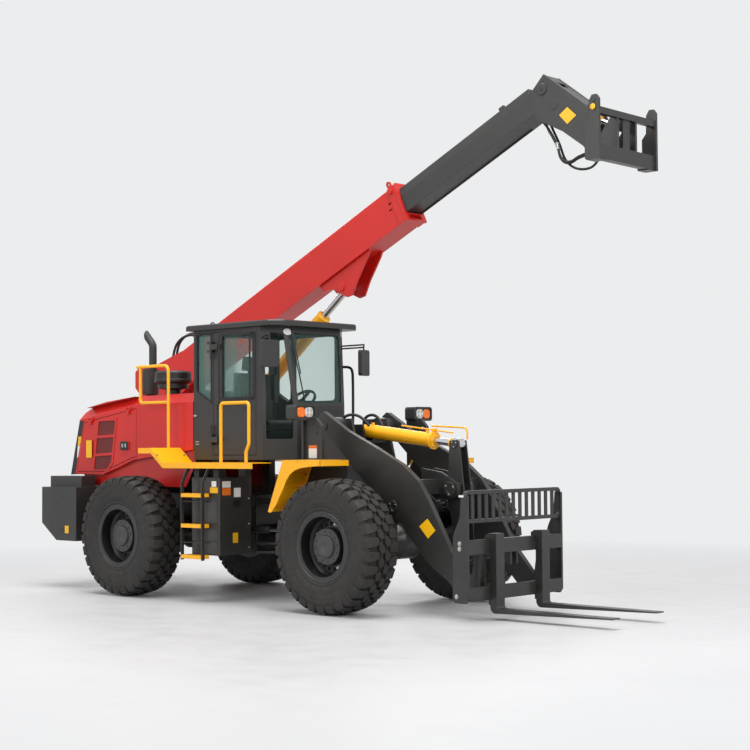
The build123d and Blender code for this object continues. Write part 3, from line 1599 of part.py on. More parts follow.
fender_top_z = 1534 + seat_gap
lamp_post = ahead(
    [
        (-632, 1445),
        (-575, 1510),
        (-511, fender_top_z),
        (-342, fender_top_z),
        (-342, 1880),
        (-420, 1960),
        (-632, 1960),
    ]
)
post_window = ahead([(-607, 1500), (-560, 1545), (-367, 1545), (-367, 1870), (-430, 1935), (-607, 1935)])
with BuildPart() as headlamps:
    for side in (-1, 1):
        # the post is a plate with a turned rim
        edge = side * 800
        plate(lamp_post, *sorted((edge, edge + side * 40)))
        plate(post_window, *sorted((edge + side * 10, edge + side * 41)), mode=Mode.SUBTRACT)
        for x, z, size in [(-400, 1860, 15), (-432, 1800, 11), (-590, 1700, 11)]:
            pin((wheel_base + x, z), *sorted((edge - side, edge + side * 12)), size, mode=Mode.SUBTRACT)
        # the housing, with rounded corners and a recess for the lenses
        with BuildSketch(Plane.YZ.offset(wheel_base - 627)):
            with Locations((side * (lamp_inner_y + lamp_outer_y) / 2, 2020)):
                RectangleRounded(lamp_outer_y - lamp_inner_y, 156, 34)
        extrude(amount=140)
        with BuildSketch(Plane.YZ.offset(wheel_base - 499)):
            with Locations((side * (lamp_inner_y + lamp_outer_y) / 2, 2020)):
                RectangleRounded(lamp_outer_y - lamp_inner_y - 30, 122, 30)
        extrude(amount=20, mode=Mode.SUBTRACT)
pieces["headlamps"] = headlamps

# ---------------------------------------------------------------- loader arms
arm_outline = ahead(
    [
        (-697, 1990),
        (-627, 2040),
        (-267, 1826),
        (158, 1638),
        (493, 1477),
        (693, 1320),
        (823, 1134),
        (948, 920),
        (1098, 655),
        (1423, 290),
        (1423, 170),
        (1253, 160),
        (1069, 350),
        (813, 514),
        (653, 680),
        (413, 950),
        (253, 980),
        (13, 1250),
        (-307, 1560),
        (-527, 1760),
        (-697, 1790),
    ]
)
with BuildPart() as loader_arms:
    for side in (-1, 1):
        low = side * arm_y - arm_thickness / 2
        high = side * arm_y + arm_thickness / 2
        plate(arm_outline, low, high, radius=30)
        pin(arm_root, low, high, arm_pin_radius + pin_clearance, mode=Mode.SUBTRACT)
        pin(arm_tip, low, high, 32 + pin_clearance, mode=Mode.SUBTRACT)
        # boss that backs the lift cylinder's eye
        near, far = side * (lift_cylinder_y + 40), side * (arm_y - arm_thickness / 2)
        pin(lift_eye, *sorted((near, far)), 60)
    inner = arm_y - arm_thickness / 2
    block(wheel_base + 473, wheel_base + 633, -inner, inner, 1180, 1330)
    for side in (-1, 1):
        low, high = sorted((side * 75, side * 110))
        cheek = [(373, 1330), (373, 1440), (633, 1400), (873, 1280), (863, 1160), (633, 1120), (473, 1180)]
        plate(ahead(cheek), low, high)
        pin(crank_pivot, *sorted((side * 110, side * 130)), 95)
    pin(crank_pivot, -142, 142, 40)
pieces["loader_arms"] = loader_arms

crank_half = 64
link_pin_radius = 24
with BuildPart() as bell_crank:
    for side in (-1, 1):
        low, high = sorted((side * (crank_half - 14), side * crank_half))
        plate(
            ahead([(713, 1720), (833, 1720), (893, 1240), (933, 520), (883, 475), (823, 500), (673, 1150)]),
            low,
            high,
        )
        pin(crank_pivot, low, high, 40 + pin_clearance, mode=Mode.SUBTRACT)
    block(wheel_base + 733, wheel_base + 863, -crank_half, crank_half, 950, 975)
    pin(crank_foot, -crank_half, crank_half, link_pin_radius)
pieces["bell_crank"] = bell_crank

with BuildPart() as tilt_link:
    line = ram_frame((crank_foot[0], 0, crank_foot[1]), (link_head[0], 0, link_head[1]), (0, 1, 0))
    link_span = length_between(crank_foot, link_head)
    ram_bar(line, 0, link_span, 30)
    ram_eye(line, 0, 42, 80, link_pin_radius + pin_clearance)
    ram_eye(line, link_span, 42, 60, 0)
pieces["tilt_link"] = tilt_link

# ---------------------------------------------------------------- fork carriage
backrest_low_z = 930
backrest_bar = 36
slat_count = 13
slat_pitch = 106
slat_width = 44
upper_rail = (630, 770)
lower_rail = (190, 320)
carriage_plate = 25
with BuildPart() as fork_carriage:
    side_outline = ahead(
        [
            (1320, 215),
            (1326, 790),
            (1345, 850),
            (1412, 985),
            (1430, 1190),
            (1508, 1190),
            (1508, 215),
            (1478, 173),
            (1352, 173),
        ]
    )
    for side in (-1, 1):
        edge = side * carriage_half_width
        plate(side_outline, *sorted((edge, edge - side * carriage_plate)))
    inner = carriage_half_width - carriage_plate
    # the backrest: a hoop with rounded shoulders, a lower bar and slats between them
    with BuildSketch(Plane.YZ.offset(rail_front_x - 60)):
        with Locations((0, (backrest_low_z + carriage_top_z) / 2)):
            RectangleRounded(2 * carriage_half_width, carriage_top_z - backrest_low_z, 55)
            shrink = 2 * backrest_bar
            RectangleRounded(
                2 * carriage_half_width - 2 * carriage_plate,
                carriage_top_z - backrest_low_z - shrink,
                25,
                mode=Mode.SUBTRACT,
            )
    extrude(amount=40)
    for number in range(slat_count):
        y = (number - (slat_count - 1) / 2) * slat_pitch
        low_z, high_z = backrest_low_z + backrest_bar / 2, carriage_top_z - backrest_bar / 2
        block(rail_front_x - 45, rail_front_x - 33, y - slat_width / 2, y + slat_width / 2, low_z, high_z)
    for low_z, high_z in (upper_rail, lower_rail):
        block(rail_front_x - 60, rail_front_x, -inner, inner, low_z, high_z)
    # ears round each arm's tip, and the pair that takes the tilt link
    for side in (-1, 1):
        for near in (
            arm_y - arm_thickness / 2 - face_clearance - 25,
            arm_y + arm_thickness / 2 + face_clearance,
        ):
            low, high = sorted((side * near, side * (near + 25)))
            ear = [(1283, 180), (1283, 300), (1373, 330), (1448, 770), (1473, 770), (1473, 190)]
            plate(ahead(ear), low, high, radius=12)
        pin(arm_tip, *sorted((side * (arm_y - 60), side * (arm_y + 60))), 32)
        low, high = sorted((side * (30 + face_clearance), side * (55 + face_clearance)))
        plate(ahead([(1273, 540), (1273, 650), (1448, 770), (1473, 770), (1473, 500)]), low, high, radius=12)
pieces["fork_carriage"] = fork_carriage

hook_top_z = upper_rail[1] + 55
with BuildPart() as forks:
    face_x = rail_front_x + seat_gap
    outline = [
        (face_x, 60),
        (fork_tip_x, 92),
        (fork_tip_x, 104),
        (fork_heel_x, 60 + fork_thickness),
        (fork_heel_x, hook_top_z),
        (face_x - 20, hook_top_z),
        (face_x - 58, hook_top_z - 25),
        (face_x - 58, upper_rail[1] + seat_gap),
        (face_x, upper_rail[1] + seat_gap),
    ]
    for side in (-1, 1):
        middle = side * fork_y
        with BuildSketch(side_frame(middle + fork_width / 2)) as shape:
            with BuildLine():
                Polyline(*outline, close=True)
            make_face()
            fillet(shape.vertices().sort_by_distance((face_x, 60, 0))[0], 62)
            fillet(shape.vertices().sort_by_distance((fork_heel_x, 60 + fork_thickness, 0))[0], 26)
        extrude(amount=fork_width)
        # hook under the lower rail, welded to the shank
        low, high = sorted((middle - 45, middle + 45))
        block(face_x - 30, face_x + 10, low, high, lower_rail[0] - 50, lower_rail[0] - seat_gap)
pieces["forks"] = forks

# ---------------------------------------------------------------- write every piece
for name, piece in pieces.items():
    shape = piece.part if isinstance(piece, BuildPart) else piece
    placed = shape.moved(Location((-origin_x, -origin_y, 0)))
    placed.label = name
    export_step(placed, f"parts/{name}.step")
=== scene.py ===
"""Looks of the two-in-one wheel loader and telescopic handler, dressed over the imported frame."""
import json
import math
from itertools import product

import bpy
from mathutils import Matrix, Vector


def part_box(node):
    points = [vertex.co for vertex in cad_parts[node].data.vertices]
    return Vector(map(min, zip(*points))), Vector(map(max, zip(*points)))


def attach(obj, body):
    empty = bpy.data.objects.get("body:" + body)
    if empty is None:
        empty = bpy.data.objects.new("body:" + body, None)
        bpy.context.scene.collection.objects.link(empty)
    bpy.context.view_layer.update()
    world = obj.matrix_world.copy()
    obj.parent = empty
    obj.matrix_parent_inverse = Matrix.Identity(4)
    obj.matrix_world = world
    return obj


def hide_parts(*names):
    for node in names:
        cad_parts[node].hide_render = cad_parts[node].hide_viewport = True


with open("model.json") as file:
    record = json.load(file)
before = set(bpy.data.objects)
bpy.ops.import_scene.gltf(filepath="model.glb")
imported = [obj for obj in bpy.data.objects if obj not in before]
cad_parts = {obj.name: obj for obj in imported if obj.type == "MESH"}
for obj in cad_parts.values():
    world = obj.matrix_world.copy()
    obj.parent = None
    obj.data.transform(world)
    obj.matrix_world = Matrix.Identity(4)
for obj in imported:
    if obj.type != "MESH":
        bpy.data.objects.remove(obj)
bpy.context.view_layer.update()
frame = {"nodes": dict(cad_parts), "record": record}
nodes = frame["nodes"]


def add_object(name, data):
    """An object that shows data, in the scene."""
    piece = bpy.data.objects.new(name, data)
    bpy.context.collection.objects.link(piece)
    return piece


# ---- places
def middle(node):
    low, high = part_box(node)
    return (low + high) / 2


rear_hub = (middle("rim_rear_left") + middle("rim_rear_right")) / 2
front_hub = (middle("rim_front_left") + middle("rim_front_right")) / 2
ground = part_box("tyre_rear_left")[0].z
origin = Vector((rear_hub.x, rear_hub.y, ground))
wheel_base = front_hub.x - rear_hub.x


def at(x, y, z):
    """A place measured from the rear axle's middle on the ground: ahead, left, up."""
    return origin + Vector((x, y, z))


def route(*places, y=None):
    """Places along a line; with y given, each place is only ahead and up."""
    return [at(*place) if y is None else at(place[0], y, place[1]) for place in places]


# ---- camera
camera_place = (14.245, -12.360, 1.695)
camera_yaw, camera_pitch, camera_roll = 0.7443, 0.0433, -0.0071
sensor_width, focal_length, clip_end = 36, 75.83, 200


def make_camera():
    yaw, pitch, roll = camera_yaw, camera_pitch, camera_roll
    ahead = Vector((-math.sin(yaw) * math.cos(pitch), math.cos(yaw) * math.cos(pitch), math.sin(pitch)))
    level = Vector((math.cos(yaw), math.sin(yaw), 0))
    over = level.cross(ahead)
    right = math.cos(roll) * level + math.sin(roll) * over
    up = math.cos(roll) * over - math.sin(roll) * level
    lens = bpy.data.cameras.new("camera")
    lens.sensor_width, lens.lens, lens.clip_end = sensor_width, focal_length, clip_end
    camera = add_object("camera", lens)
    place = at(*camera_place)
    rows = [[right[i], up[i], -ahead[i], place[i]] for i in range(3)] + [[0, 0, 0, 1]]
    camera.matrix_world = Matrix(rows)
    bpy.context.scene.camera = camera


make_camera()


# ---- materials
class Nodes:
    """A short way to write a material's node tree."""

    def __init__(self, name):
        self.material = bpy.data.materials.new(name)
        self.material.use_nodes = True
        self.tree = self.material.node_tree
        self.shader = self.tree.nodes["Principled BSDF"]
        self.place = self.new("ShaderNodeTexCoord").outputs["Object"]

    def new(self, kind, **settings):
        node = self.tree.nodes.new(kind)
        for key, value in settings.items():
            setattr(node, key, value)
        return node

    def link(self, source, target):
        self.tree.links.new(source, target)

    def set(self, **values):
        for key, value in values.items():
            self.shader.inputs[key.replace("_", " ")].default_value = value

    def noise(self, scale, detail=4.0, rough=0.55, stretch=None):
        node = self.new("ShaderNodeTexNoise")
        node.inputs["Scale"].default_value = scale
        node.inputs["Detail"].default_value = detail
        node.inputs["Roughness"].default_value = rough
        source = self.place
        if stretch:
            mapping = self.new("ShaderNodeMapping")
            mapping.inputs["Scale"].default_value = stretch
            self.link(source, mapping.inputs["Vector"])
            source = mapping.outputs["Vector"]
        self.link(source, node.inputs["Vector"])
        return node.outputs["Fac"]

    def ramp(self, source, low, high, start=0.0, end=1.0):
        node = self.new("ShaderNodeMapRange")
        for key, value in (("From Min", low), ("From Max", high), ("To Min", start), ("To Max", end)):
            node.inputs[key].default_value = value
        self.link(source, node.inputs["Value"])
        return node.outputs["Result"]

    def mix(self, factor, first, second):
        node = self.new("ShaderNodeMix", data_type="RGBA")
        for socket, value in ((node.inputs[0], factor), (node.inputs[6], first), (node.inputs[7], second)):
            if hasattr(value, "is_linked"):
                self.link(value, socket)
            else:
                socket.default_value = (*value, 1)
        return node.outputs[2]

    def maths(self, operation, first, second=0.0):
        node = self.new("ShaderNodeMath", operation=operation)
        for socket, value in ((node.inputs[0], first), (node.inputs[1], second)):
            if hasattr(value, "is_linked"):
                self.link(value, socket)
            else:
                socket.default_value = value
        return node.outputs[0]

    def axis(self, letter):
        node = self.new("ShaderNodeSeparateXYZ")
        self.link(self.place, node.inputs[0])
        return node.outputs[letter]

    def colour(self, source):
        self.link(source, self.shader.inputs["Base Color"])

    def rough(self, source):
        self.link(source, self.shader.inputs["Roughness"])

    def surface(self, factor, first, second):
        """The material's surface: first where factor is 0 and second where it is 1."""
        blend = self.new("ShaderNodeMixShader")
        for socket, source in zip(blend.inputs, (factor, first.outputs[0], second.outputs[0])):
            self.link(source, socket)
        self.link(blend.outputs[0], self.tree.nodes["Material Output"].inputs["Surface"])

    def bump(self, height, strength, distance, edge=0.0):
        node = self.new("ShaderNodeBump")
        node.inputs["Strength"].default_value = strength
        node.inputs["Distance"].default_value = distance
        self.link(height, node.inputs["Height"])
        if edge:
            bevel = self.new("ShaderNodeBevel", samples=4)
            bevel.inputs["Radius"].default_value = edge
            self.link(bevel.outputs["Normal"], node.inputs["Normal"])
        self.link(node.outputs["Normal"], self.shader.inputs["Normal"])


def rgb(red, green, blue):
    """A colour as seen on a screen, 0 to 255, as the linear values that shaders take."""
    seen = (red, green, blue)
    return tuple(((v / 255 + 0.055) / 1.055) ** 2.4 if v > 10 else v / 255 / 12.92 for v in seen)


def darker(colour, share):
    return tuple(v * share for v in colour)


def paint(name, seen, shade=0.8, dust=0.1, gloss=0.32, coat=0.25, grain=0.04, edge=0.006):
    """Sprayed paint: a slow change of tone, orange peel, edges that catch light, dust near the ground."""
    n = Nodes(name)
    base = rgb(*seen)
    slow = n.ramp(n.noise(1.6, 3), 0.35, 0.65)
    tone = n.mix(slow, darker(base, shade), base)
    low = n.ramp(n.axis("Z"), 1.6, 0.0)
    cloud = n.ramp(n.noise(7, 6, 0.7), 0.42, 0.78)
    dusty = n.maths("MULTIPLY", cloud, n.maths("ADD", n.maths("MULTIPLY", low, 0.7), 0.3))
    dusty = n.maths("MULTIPLY", dusty, dust)
    n.colour(n.mix(dusty, tone, rgb(168, 160, 148)))
    fine = n.noise(38, 3, 0.6)
    n.rough(n.ramp(fine, 0.3, 0.7, gloss * 0.85, gloss * 1.2))
    n.bump(n.noise(160, 2), grain, 0.001, edge)
    n.set(Coat_Weight=coat, Coat_Roughness=0.12)
    return n.material


def steel(name, seen, rough=0.3, stretch=(1, 1, 1)):
    """Bare or plated metal with fine lines along one way."""
    n = Nodes(name)
    base = rgb(*seen)
    lines = n.noise(90, 3, 0.6, stretch=stretch)
    n.colour(n.mix(n.ramp(lines, 0.3, 0.7), darker(base, 0.86), base))
    n.rough(n.ramp(n.noise(12, 4), 0.3, 0.7, rough * 0.8, rough * 1.25))
    n.bump(lines, 0.03, 0.0006)
    n.set(Metallic=1.0)
    return n.material


def plastic(name, seen, rough=0.5, grain=0.12, scale=220, shade=0.75, edge=0.0):
    """Moulded plastic or rubber with a fine grain."""
    n = Nodes(name)
    base = rgb(*seen)
    n.colour(n.mix(n.ramp(n.noise(5, 4), 0.35, 0.65), darker(base, shade), base))
    n.rough(n.ramp(n.noise(26, 3), 0.3, 0.7, rough * 0.85, min(1, rough * 1.15)))
    n.bump(n.noise(scale, 2), grain, 0.0008, edge)
    return n.material


def tyre_rubber():
    """Tyre rubber: a matt brownish black, with pale dust in patches and a fine grain."""
    n = Nodes("tyre_rubber")
    clouds = n.ramp(n.noise(6, 6, 0.65), 0.35, 0.7)
    base = n.mix(clouds, rgb(38, 37, 36), rgb(50, 47, 45))
    specks = n.ramp(n.noise(60, 4, 0.7), 0.55, 0.8)
    n.colour(n.mix(n.maths("MULTIPLY", specks, 0.3), base, rgb(80, 73, 66)))
    n.rough(n.ramp(n.noise(30, 3), 0.3, 0.7, 0.6, 0.82))
    n.bump(n.noise(140, 4, 0.6), 0.15, 0.0012)
    n.set(Specular_IOR_Level=0.4)
    return n.material


def glass(name, clear, tint, solid):
    """Tinted glass that lets light straight through, with a faint film of dust."""
    n = Nodes(name)
    dust = n.ramp(n.noise(3.5, 5, 0.65), 0.4, 0.75)
    n.colour(n.mix(dust, rgb(*tint), darker(rgb(*tint), 0.94)))
    n.rough(n.ramp(dust, 0, 1, 0.02, 0.05))
    n.set(Specular_IOR_Level=0.7, IOR=1.45)
    see = n.new("ShaderNodeBsdfTransparent")
    see.inputs["Color"].default_value = (*rgb(*clear), 1)
    fresnel = n.new("ShaderNodeFresnel")
    fresnel.inputs["IOR"].default_value = 1.35
    n.surface(n.ramp(fresnel.outputs[0], 0, 1, solid, 0.85), see, n.shader)
    return n.material


def wire_mesh(name, seen, pitch=0.026, wire=0.30):
    """A woven diamond screen: wires on two diagonals, with the holes between them painted near-black as the
    shade behind the screen.
    """
    n = Nodes(name)
    x, z = n.axis("X"), n.axis("Z")
    lines = []
    for lean in (0.75, -0.75):
        run = n.maths("ADD", x, n.maths("MULTIPLY", z, lean))
        wave = n.maths("FRACT", n.maths("DIVIDE", run, pitch))
        lines.append(n.maths("ABSOLUTE", n.maths("SUBTRACT", wave, 0.5)))
    near = n.maths("MINIMUM", lines[0], lines[1])
    solid = n.ramp(near, wire * 0.5, wire * 0.62, 1.0, 0.0)
    # painted shade: the holes are near-black for the dark behind the screen, since the screen itself is solid
    n.colour(n.mix(solid, rgb(16, 12, 12), rgb(*seen)))
    n.rough(n.ramp(solid, 0, 1, 0.9, 0.45))
    n.bump(solid, 0.5, 0.003)
    return n.material


looks = {
    "red_paint": paint("red_paint", (206, 28, 18), shade=0.9, dust=0.02, gloss=0.38, coat=0.14),
    "yellow_paint": paint("yellow_paint", (255, 181, 0), shade=0.97, dust=0.03, gloss=0.36, coat=0.18),
    "dark_grey_paint": paint("dark_grey_paint", (43, 42, 41), shade=0.84, dust=0.04, gloss=0.42, coat=0.08),
    "dark_steel": paint("dark_steel", (33, 33, 33), shade=0.82, dust=0.08, gloss=0.45, coat=0.05),
    "cast_iron": paint("cast_iron", (40, 39, 39), shade=0.7, dust=0.14, gloss=0.62, coat=0.0, grain=0.2),
    "black_plastic": plastic("black_plastic", (32, 32, 33), rough=0.5, edge=0.004),
    "chrome": steel("chrome", (216, 219, 224), rough=0.12, stretch=(1, 1, 6)),
    "bare_steel": paint("exhaust_paint", (38, 37, 37), shade=0.8, dust=0.08, gloss=0.55, coat=0.0),
    "tyre_rubber": tyre_rubber(),
    "cab_glass": glass("cab_glass", (250, 254, 253), (120, 150, 144), solid=0.008),
    "mesh_screen": wire_mesh("mesh_screen", (138, 38, 34)),
    "rim_paint": paint("rim_paint", (52, 52, 51), shade=0.86, dust=0.06, gloss=0.36, coat=0.15),
    "hub_paint": paint("hub_paint", (58, 58, 58), shade=0.86, dust=0.08, gloss=0.45, coat=0.05),
    # near-black: the real colour of black plates and plate borders, and painted shade in the rim's dish and
    # the pin bores
    "black_and_painted_shade": plastic("black_and_painted_shade", (20, 20, 20), rough=0.4, grain=0.08),
    "zinc": steel("zinc", (190, 190, 186), rough=0.34),
    "bolt_black": plastic("bolt_black", (38, 38, 39), rough=0.42, grain=0.05),
    "seal_rubber": plastic("seal_rubber", (20, 20, 21), rough=0.65, grain=0.1, scale=120),
    "hose_rubber": plastic("hose_rubber", (24, 24, 25), rough=0.55, grain=0.2, scale=400),
    "amber_lens": plastic("amber_lens", (246, 122, 24), rough=0.18, grain=0.25, scale=90, shade=0.8),
    "clear_lens": plastic("clear_lens", (228, 232, 235), rough=0.14, grain=0.3, scale=70, shade=0.82),
    "red_lens": plastic("red_lens", (196, 20, 14), rough=0.16, grain=0.25, scale=90, shade=0.8),
    "plate_yellow": plastic("plate_yellow", (250, 190, 20), rough=0.35, grain=0.02, shade=0.95),
    "plate_white": plastic("plate_white", (236, 236, 234), rough=0.38, grain=0.02, shade=0.95),
    "plate_orange": plastic("plate_orange", (232, 118, 34), rough=0.36, grain=0.02, shade=0.95),
}


# rams that are painted black, and not yellow as the long ones are
dark_rams = ("lift_barrels", "steer_barrel")


def dress_frame():
    for part in frame["record"]["subparts"]:
        piece = nodes[part["node"]]
        piece.data.materials.clear()
        look = "dark_steel" if part["node"].startswith(dark_rams) else part["material_slot"]
        piece.data.materials.append(looks[look])


dress_frame()


# ---- mesh helpers
def bands(rings, count, loop=False, around=True):
    """Quads from each ring of count points to the next; loop joins the last ring to the first."""
    faces = []
    for r in range(rings if loop else rings - 1):
        for i in range(count if around else count - 1):
            j, s = (i + 1) % count, (r + 1) % rings
            faces.append([r * count + i, r * count + j, s * count + j, s * count + i])
    return faces


def box_corner(axis, along, first, second):
    """A corner of a box as three signs: its side along an axis, and those along the two other axes."""
    sign = [first, second]
    sign.insert(axis, along)
    return tuple(sign)


class Shape:
    """Points and faces gathered into one mesh."""

    def __init__(self):
        self.points = []
        self.faces = []

    def add(self, points, faces):
        base = len(self.points)
        self.points.extend(Vector(p) for p in points)
        self.faces.extend([base + i for i in face] for face in faces)

    def prism(self, outline, depth, edge=0.0):
        """A plate: a flat outline pushed along depth, with its far rim softened by edge."""
        outline = [Vector(p) for p in outline]
        depth = Vector(depth)
        count = len(outline)
        centre = sum(outline, Vector()) / count
        rings = [outline]
        if edge:
            inner = []
            for i, p in enumerate(outline):
                one = (outline[i - 1] - p).normalized()
                two = (outline[(i + 1) % count] - p).normalized()
                lean = one + two
                lean = lean.normalized() if lean.length > 1e-4 else (centre - p).normalized()
                if lean.dot(centre - p) < 0 and count == 4:
                    lean = -lean
                inner.append(p + lean * edge)
            rim = depth.normalized() * edge
            rings += [[p + depth - rim for p in outline], [p + depth for p in inner]]
        else:
            rings.append([p + depth for p in outline])
        points = [p for ring in rings for p in ring]
        faces = bands(len(rings), count)
        faces.append(list(range(count))[::-1])
        faces.append([(len(rings) - 1) * count + i for i in range(count)])
        self.add(points, faces)

    def box(self, low, high, edge=0.003):
        """A box with all its edges cut off."""
        low, high = Vector(low), Vector(high)
        edge = min(edge, *((high - low) * 0.45))
        signs = list(product((0, 1), repeat=3))
        points, index, faces = [], {}, []
        for axis in range(3):
            for sign in signs:
                p = [high[i] if sign[i] else low[i] for i in range(3)]
                for i in range(3):
                    if i != axis:
                        p[i] += -edge if sign[i] else edge
                index[axis, sign] = len(points)
                points.append(p)
        around = ((0, 0), (1, 0), (1, 1), (0, 1))
        for axis, s in product(range(3), (0, 1)):
            faces.append([index[axis, box_corner(axis, s, u, v)] for u, v in around])
        for axis in range(3):
            a, b = [i for i in range(3) if i != axis]
            for u, v in product((0, 1), repeat=2):
                one, two = box_corner(axis, 0, u, v), box_corner(axis, 1, u, v)
                faces.append([index[a, one], index[b, one], index[b, two], index[a, two]])
        faces.extend([index[axis, sign] for axis in range(3)] for sign in signs)
        self.add(points, faces)

    def turned(self, centre, axis, profile, steps=24, caps=True):
        """A body turned about an axis: profile is reach along the axis and radius, in order."""
        axis = Vector(axis).normalized()
        side = axis.orthogonal().normalized()
        other = axis.cross(side)
        points = []
        count = len(profile)
        for k in range(steps):
            turn = 2 * math.pi * k / steps
            out = side * math.cos(turn) + other * math.sin(turn)
            points.extend(Vector(centre) + axis * reach + out * radius for reach, radius in profile)
        faces = bands(steps, count, loop=True, around=False)
        for end in (0, count - 1):
            if caps and profile[end][1] > 1e-6:
                faces.append([k * count + end for k in range(steps)])
        self.add(points, faces)

    def bolt(self, centre, axis, radius, height=None):
        """A hexagon head on its washer."""
        height = height or radius * 0.7
        base = radius * 0.22
        self.turned(centre, axis, [(-0.001, radius * 1.45), (base, radius * 1.45)], 14)
        head = [(base - 0.0005, radius), (height, radius), (height * 1.12, radius * 0.82)]
        self.turned(centre, axis, head, 6)

    def tube(self, path, radius, steps=12):
        """A round tube through the points of a path, carried along without twist."""
        path = [Vector(p) for p in path]
        count = len(path)
        ends = zip([path[0], *path], [*path[1:], path[-1]])
        runs = [(after - before).normalized() for before, after in ends]
        side = runs[0].orthogonal().normalized()
        points = []
        for p, run in zip(path, runs):
            side = (side - run * side.dot(run)).normalized()
            other = run.cross(side)
            for k in range(steps):
                turn = 2 * math.pi * k / steps
                points.append(p + (side * math.cos(turn) + other * math.sin(turn)) * radius)
        faces = bands(count, steps)
        faces.append(list(range(steps))[::-1])
        faces.append([(count - 1) * steps + k for k in range(steps)])
        self.add(points, faces)

    def mesh(self, name, look, sharp):
        """The mesh, smooth but for edges sharper than an angle in degrees."""
        mesh = bpy.data.meshes.new(name)
        mesh.from_pydata([tuple(p) for p in self.points], [], self.faces)
        mesh.validate()
        mesh.polygons.foreach_set("use_smooth", [True] * len(mesh.polygons))
        mesh.set_sharp_from_angle(angle=math.radians(sharp))
        mesh.materials.append(looks[look])
        return mesh

    def build(self, name, body, look, slot):
        """A piece of the scene that moves with a body and takes its paint from a look; the slot is not used.
        """
        piece = add_object(name, self.mesh(name, look, 32))
        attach(piece, body)
        return piece


def smooth_path(points, steps):
    """Points along a smooth curve through the given ones."""
    points = [Vector(p) for p in points]
    padded = [points[0] * 2 - points[1], *points, points[-1] * 2 - points[-2]]
    path = []
    for i in range(1, len(padded) - 2):
        a, b, c, d = padded[i - 1 : i + 3]
        for step in range(steps):
            t = step / steps
            square, cube = 2 * a - 5 * b + 4 * c - d, 3 * b - a - 3 * c + d
            path.append(0.5 * (2 * b + (c - a) * t + square * t * t + cube * t ** 3))
    path.append(points[-1])
    return path


# ---- tyres and wheels
tyre_radius = 0.675
lug_count = 30
lug_turn = 2 * math.pi / lug_count
lug_chamfer = 0.006
# radii at which the lugs start, inside the carcass
shoulder_base, block_base = 0.575, 0.600


def tread_radius(y):
    """The tread falls away by 14 mm at 200 mm from its middle."""
    return tyre_radius - 0.014 * (abs(y) / 0.2) ** 2


def lug_strip(shape, stations, turn, base):
    """A raised lug: stations are width place, middle and half length in lugs' turns, and outer radius."""
    points = []
    for y, mid, half, outer in stations:
        side = outer - lug_chamfer
        section = ((-1.07, base), (-1.0, side), (-0.9, outer), (0.9, outer), (1.0, side), (1.07, base))
        for lean, radius in section:
            angle = turn + (mid + half * lean) * lug_turn
            points.append(Vector((radius * math.sin(angle), y, radius * math.cos(angle))))
    faces = bands(len(stations), 6, around=False)
    faces.append([5, 4, 3, 2, 1, 0])
    faces.append([len(points) - 6 + i for i in range(6)])
    shape.add(points, faces)


def turned_round(stations):
    return [(-y, -mid, half, outer) for y, mid, half, outer in reversed(stations)]


def make_tyre_mesh():
    shape = Shape()
    # width place and radius, from the bead up the side wall to the shoulder
    wall = [
        (0.168, 0.330), (0.190, 0.345), (0.199, 0.362), (0.207, 0.372), (0.2085, 0.386), (0.206, 0.392),
        (0.2115, 0.402), (0.2175, 0.430), (0.2205, 0.470), (0.2195, 0.478), (0.2218, 0.486), (0.2215, 0.520),
        (0.2195, 0.548), (0.2205, 0.553), (0.2190, 0.560), (0.2150, 0.590), (0.2060, 0.618), (0.1900, 0.638),
    ]
    crown = [(y, tread_radius(y) - 0.034) for y in (0.150, 0.100, 0.050, 0.0, -0.050, -0.100, -0.150)]
    profile = wall + crown + [(-y, r) for y, r in reversed(wall)]
    # closed on the inside, between the beads
    profile += [(-0.12, 0.33), (0.12, 0.33), profile[0]]
    shape.turned((0, 0, 0), (0, 1, 0), profile, 120, caps=False)
    # shoulder lug, from beside the centre blocks over the shoulder and down the wall
    lug = [
        (0.078, 0.10, 0.16, tread_radius(0.078)),
        (0.096, 0.04, 0.29, tread_radius(0.096)),
        (0.140, -0.02, 0.33, tread_radius(0.140)),
        (0.192, -0.04, 0.36, tread_radius(0.192) - 0.002),
        (0.208, -0.05, 0.36, 0.650),
        (0.2165, -0.06, 0.35, 0.628),
        (0.2212, -0.07, 0.33, 0.604),
        (0.2216, -0.08, 0.30, 0.586),
    ]
    block = [
        (0.007, 0.47, 0.20, tread_radius(0)),
        (0.030, 0.50, 0.37, tread_radius(0.03)),
        (0.052, 0.52, 0.36, tread_radius(0.05)),
        (0.080, 0.56, 0.17, tread_radius(0.08)),
    ]
    for number in range(lug_count):
        # one half of the tread is the other half turned round, and half a lug further on
        for way, turn in ((list, number * lug_turn), (turned_round, (number + 0.5) * lug_turn)):
            lug_strip(shape, way(lug), turn, shoulder_base)
            lug_strip(shape, way(block), turn, block_base)
    return shape.mesh("tyre", "tyre_rubber", 30)


# each wheel's name, and the side that it faces
wheels = [("rear_left", 1), ("rear_right", -1), ("front_left", 1), ("front_right", -1)]


def make_wheels():
    tyre = make_tyre_mesh()
    for name, sign in wheels:
        piece = add_object("tread_" + name, tyre)
        # both sides' treads point the same way at the top
        spin = Matrix.Rotation(math.pi if sign < 0 else 0, 4, "Z")
        piece.matrix_world = Matrix.Translation(middle("tyre_" + name)) @ spin
        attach(piece, "wheel_" + name)
        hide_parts("tyre_" + name)


make_wheels()


# ---- small helpers
def side_plate(shape, outline, y, depth, edge=0.0):
    """A plate that faces sideways: its outline ahead and up, its back at y, its face depth further."""
    shape.prism([at(x, y, z) for x, z in outline], (0, depth, 0), edge)


